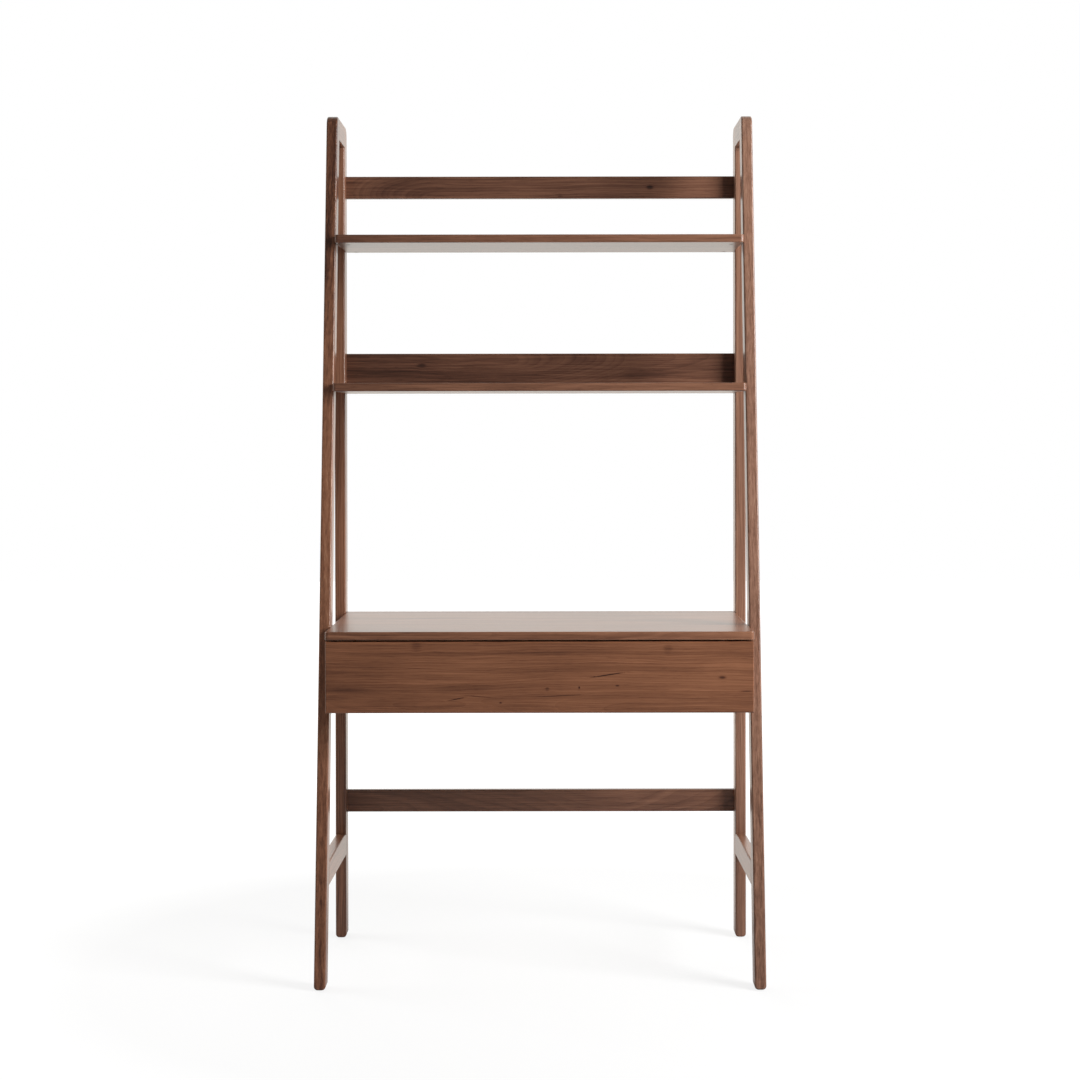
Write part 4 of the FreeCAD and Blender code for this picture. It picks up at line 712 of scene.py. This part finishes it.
# %% Corner brackets
BRACKET_ARM, HALF_BRACKET, BRACKET_ROUND = 0.024, 0.010, 0.005
rise = np.linspace(0, np.pi / 2, 8)
tongue, narrow = BRACKET_ROUND * (1 - np.cos(rise)), BRACKET_ROUND * (1 - np.sin(rise))
lower = np.stack([-BRACKET_ARM + tongue, np.full(8, BRACKET_THICK / 2)], -1)
path = np.concatenate([lower, arc(-0.003, 0.003, 0.002, 180, 90), -lower[::-1, ::-1]])
half_wide = HALF_BRACKET - np.concatenate([narrow, np.zeros(7), narrow[::-1]])
placed("corner_brackets", strap(path, half_wide, BRACKET_THICK),
       inward(case_side, BRACKET_HIGH, BRACKET_ROWS), plated)

# %% Slide members
def mirrored(half):
    """A path from the lower lip over the middle to the upper lip, given its upper half."""
    return np.concatenate([half[::-1] * (-1, 1), half])


HALF_SLIDE = 0.225
SLIDE_PATHS = {
    # member: (upper half of the path, body on the left, body on the right)
    "cabinet": (np.concatenate([[(0.001, 0.0006)], arc(0.0186, 0.0039, 0.0033, 180, 90),
                                arc(0.0189, 0.0063, 0.0030, 90, 32)]), "frame", "frame"),
    "middle": (np.concatenate([[(0.001, 0.0036)], arc(0.0139, 0.0056, 0.0020, 180, 90),
                               arc(0.0134, 0.0080, 0.0025, 90, 63)]),
               "middle_member_left", "middle_member_right"),
    "drawer": (np.concatenate([[(0.001, 0.0119)], arc(0.0089, 0.0099, 0.0020, 0, 90),
                               arc(0.0099, 0.0070, 0.0010, 90, 150)]), "drawer", "drawer"),
}
for member, (half, *bodies) in SLIDE_PATHS.items():
    for side, name, body in ((-1, "left", bodies[0]), (1, "right", bodies[1])):
        placed(f"slide_{member}_member_{name}", strap(mirrored(half), HALF_SLIDE, SLIDE_THICK),
               [((side * case_side, SLIDE_DEEP, SLIDE_HIGH), (-side, 0, 0))], rolled, body)

# %% [markdown]
# ## The studio
# The desk stands on a white floor that runs off into a white background. A camera ray sees
# them at full white, but what lights the wood is weaker, so that colours come out as they
# are written. A mirrored ray sees more of them than the wood's light does, and less than the
# camera, which keeps the lacquer from turning milky. Round the desk about a third of the
# floor stays a real surface, so the feet keep a faint shadow.

# %% White floor
def grid(name, rows):
    """A mesh from a whole grid of points, joined to its neighbours in quads."""
    high, wide, _ = rows.shape
    index = np.arange(high * wide).reshape(high, wide)
    quads = np.stack([index[:-1, :-1], index[:-1, 1:], index[1:, 1:], index[1:, :-1]], -1).reshape(-1, 4)
    mesh = bpy.data.meshes.new(name)
    mesh.from_pydata(rows.reshape(-1, 3).tolist(), [], quads.tolist())
    made = bpy.data.objects.new(name, mesh)
    bpy.context.scene.collection.objects.link(made)
    return made


across, back = np.meshgrid(np.linspace(-9, 9, 7), np.linspace(-9, 12, 7))
floor = grid("floor", np.stack([across, back, np.zeros_like(across)], -1))
paint = Finish("white_floor")
straight, mirrored = paint.rays()
away = paint.node("ShaderNodeVectorMath", {"operation": "LENGTH"}, {0: paint.place()}, "Value")
REAL_SHARE, REAL_TO, REAL_FROM = 0.35, 2.4, 1.0    # a share of real floor, fading out in metres
real = paint.limited(away, REAL_TO, REAL_FROM) * REAL_SHARE
rearward = paint.along(paint.place(), BACK)
seen = straight * (1 - real) + mirrored * (
    paint.limited(rearward, 0.2, 0.8) * 0.5 + paint.limited(rearward, 1.5, 5.0) * 0.4)
paint.set(Base_Color=(0.5, 0.5, 0.5, 1), Roughness=1.0, Specular_IOR_Level=0.0)
glow = paint.node("ShaderNodeEmission", {}, {
    "Color": paint.node("ShaderNodeValToRGB", {"stops": [(0.0, (1.0, 0.94, 0.86)), (1.0, (1, 1, 1))]},
                        {"Fac": straight}), "Strength": 1.25})
mixed = paint.node("ShaderNodeMixShader", {}, {0: seen, 1: Wire(paint, paint.surface.outputs[0]), 2: glow})
paint.feed(paint.tree.nodes["Material Output"].inputs["Surface"], mixed)
floor.data.materials.append(paint.material)
print("floor of", len(floor.data.polygons), "faces")

# %% White background
world = bpy.data.worlds.new("studio")
bpy.context.scene.world = world
world.use_nodes = True
sky = Finish("studio", world.node_tree)
straight, mirrored = sky.rays()
direction = sky.node("ShaderNodeTexCoord", {}, {}, "Generated")
behind = sky.limited(sky.along(direction, BACK), 0.0, 0.6) * sky.limited(sky.along(direction, UP), -2.0, 0.1)
ROOM_LIGHT, ROOM_MIRRORED, WALL_LIGHT, WALL_MIRRORED = 0.07, 0.12, 0.35, 0.50
room = ROOM_LIGHT + mirrored * ROOM_MIRRORED + behind * (WALL_LIGHT + mirrored * WALL_MIRRORED)
level = sky.node("ShaderNodeMath", {"operation": "MAXIMUM"}, {0: room, 1: straight})
warm_to_white = sky.node("ShaderNodeValToRGB", {"stops": [(0.0, (1.0, 0.99, 0.94)), (1.0, (1, 1, 1))]},
                         {"Fac": straight})
sky.feed(sky.tree.nodes["Background"].inputs["Strength"], level)
sky.feed(sky.tree.nodes["Background"].inputs["Color"], warm_to_white)
print("background")


# %% [markdown]
# ## Soft lamps
# A wide lamp on the right stands for a window and draws the shadows. Three weaker ones stand
# on the left and on the wall side, so that no side of the desk goes black when it is turned.

# %% Soft lamps
def softbox(name, place, aim, wide, tall, power, glossy=False):
    """A rectangular lamp at a place, turned so that its -Z points at the aim; glossy faces
    mirror it only when asked."""
    lamp = bpy.data.lights.new(name, "AREA")
    lamp.shape = "RECTANGLE"
    lamp.size, lamp.size_y = wide, tall
    lamp.energy = power
    made = bpy.data.objects.new(name, lamp)
    made.visible_glossy = glossy
    made.visible_camera = False
    bpy.context.scene.collection.objects.link(made)
    turn = (Vector(aim) - Vector(place)).to_track_quat("-Z", "Y").to_matrix().to_4x4()
    made.matrix_world = Matrix.Translation(place) @ turn


softbox("right_window", (3.0, -1.75, 2.25), (0.0, 0.0, 1.1), 1.6, 2.0, 190, True)
softbox("left_fill", (-3.2, -2.4, 1.4), (0.0, 0.0, 0.9), 2.2, 2.2, 10)
softbox("left_side_fill", (-3.4, 0.9, 1.8), (0.0, 0.0, 1.0), 2.2, 2.2, 70)
softbox("wall_side_fill", (-0.8, 3.4, 2.3), (0.0, 0.0, 0.8), 2.4, 2.4, 60)
print("lamps in place")

# %% [markdown]
# ## The camera
# The picture is taken from straight ahead at chest height, 4.6 metres in front of the desk
# and a little right of its middle, with a long lens. The lens is mostly shifted and only half
# a degree tilted, so that upright edges stay nearly upright.

# %% Camera
PICTURE_PIXELS, FOCAL_PIXELS = 1080, 2154.3        # the picture's width and the focal length
AXIS_ACROSS, AXIS_DOWN = 548.8, 446.9              # where the lens's axis meets the picture
SENSOR_WIDE = 36.0                                 # millimetres
CAMERA_PLACE = (0.0202, -4.8343, 1.1969)
TILT, ROLL = 0.00865, -0.0015                      # radians
camera_data = bpy.data.cameras.new("camera")
camera_data.sensor_width = SENSOR_WIDE
camera_data.lens = FOCAL_PIXELS / PICTURE_PIXELS * SENSOR_WIDE
camera_data.shift_x = (PICTURE_PIXELS / 2 - AXIS_ACROSS) / PICTURE_PIXELS
camera_data.shift_y = (AXIS_DOWN - PICTURE_PIXELS / 2) / PICTURE_PIXELS
camera = bpy.data.objects.new("camera", camera_data)
bpy.context.scene.collection.objects.link(camera)
camera.matrix_world = (Matrix.Translation(CAMERA_PLACE)
                       @ Matrix.Rotation(math.pi / 2 - TILT, 4, "X") @ Matrix.Rotation(ROLL, 4, "Z"))
bpy.context.scene.camera = camera
bpy.context.scene.view_settings.view_transform = "Standard"
print("lens", round(camera_data.lens, 1), "mm")
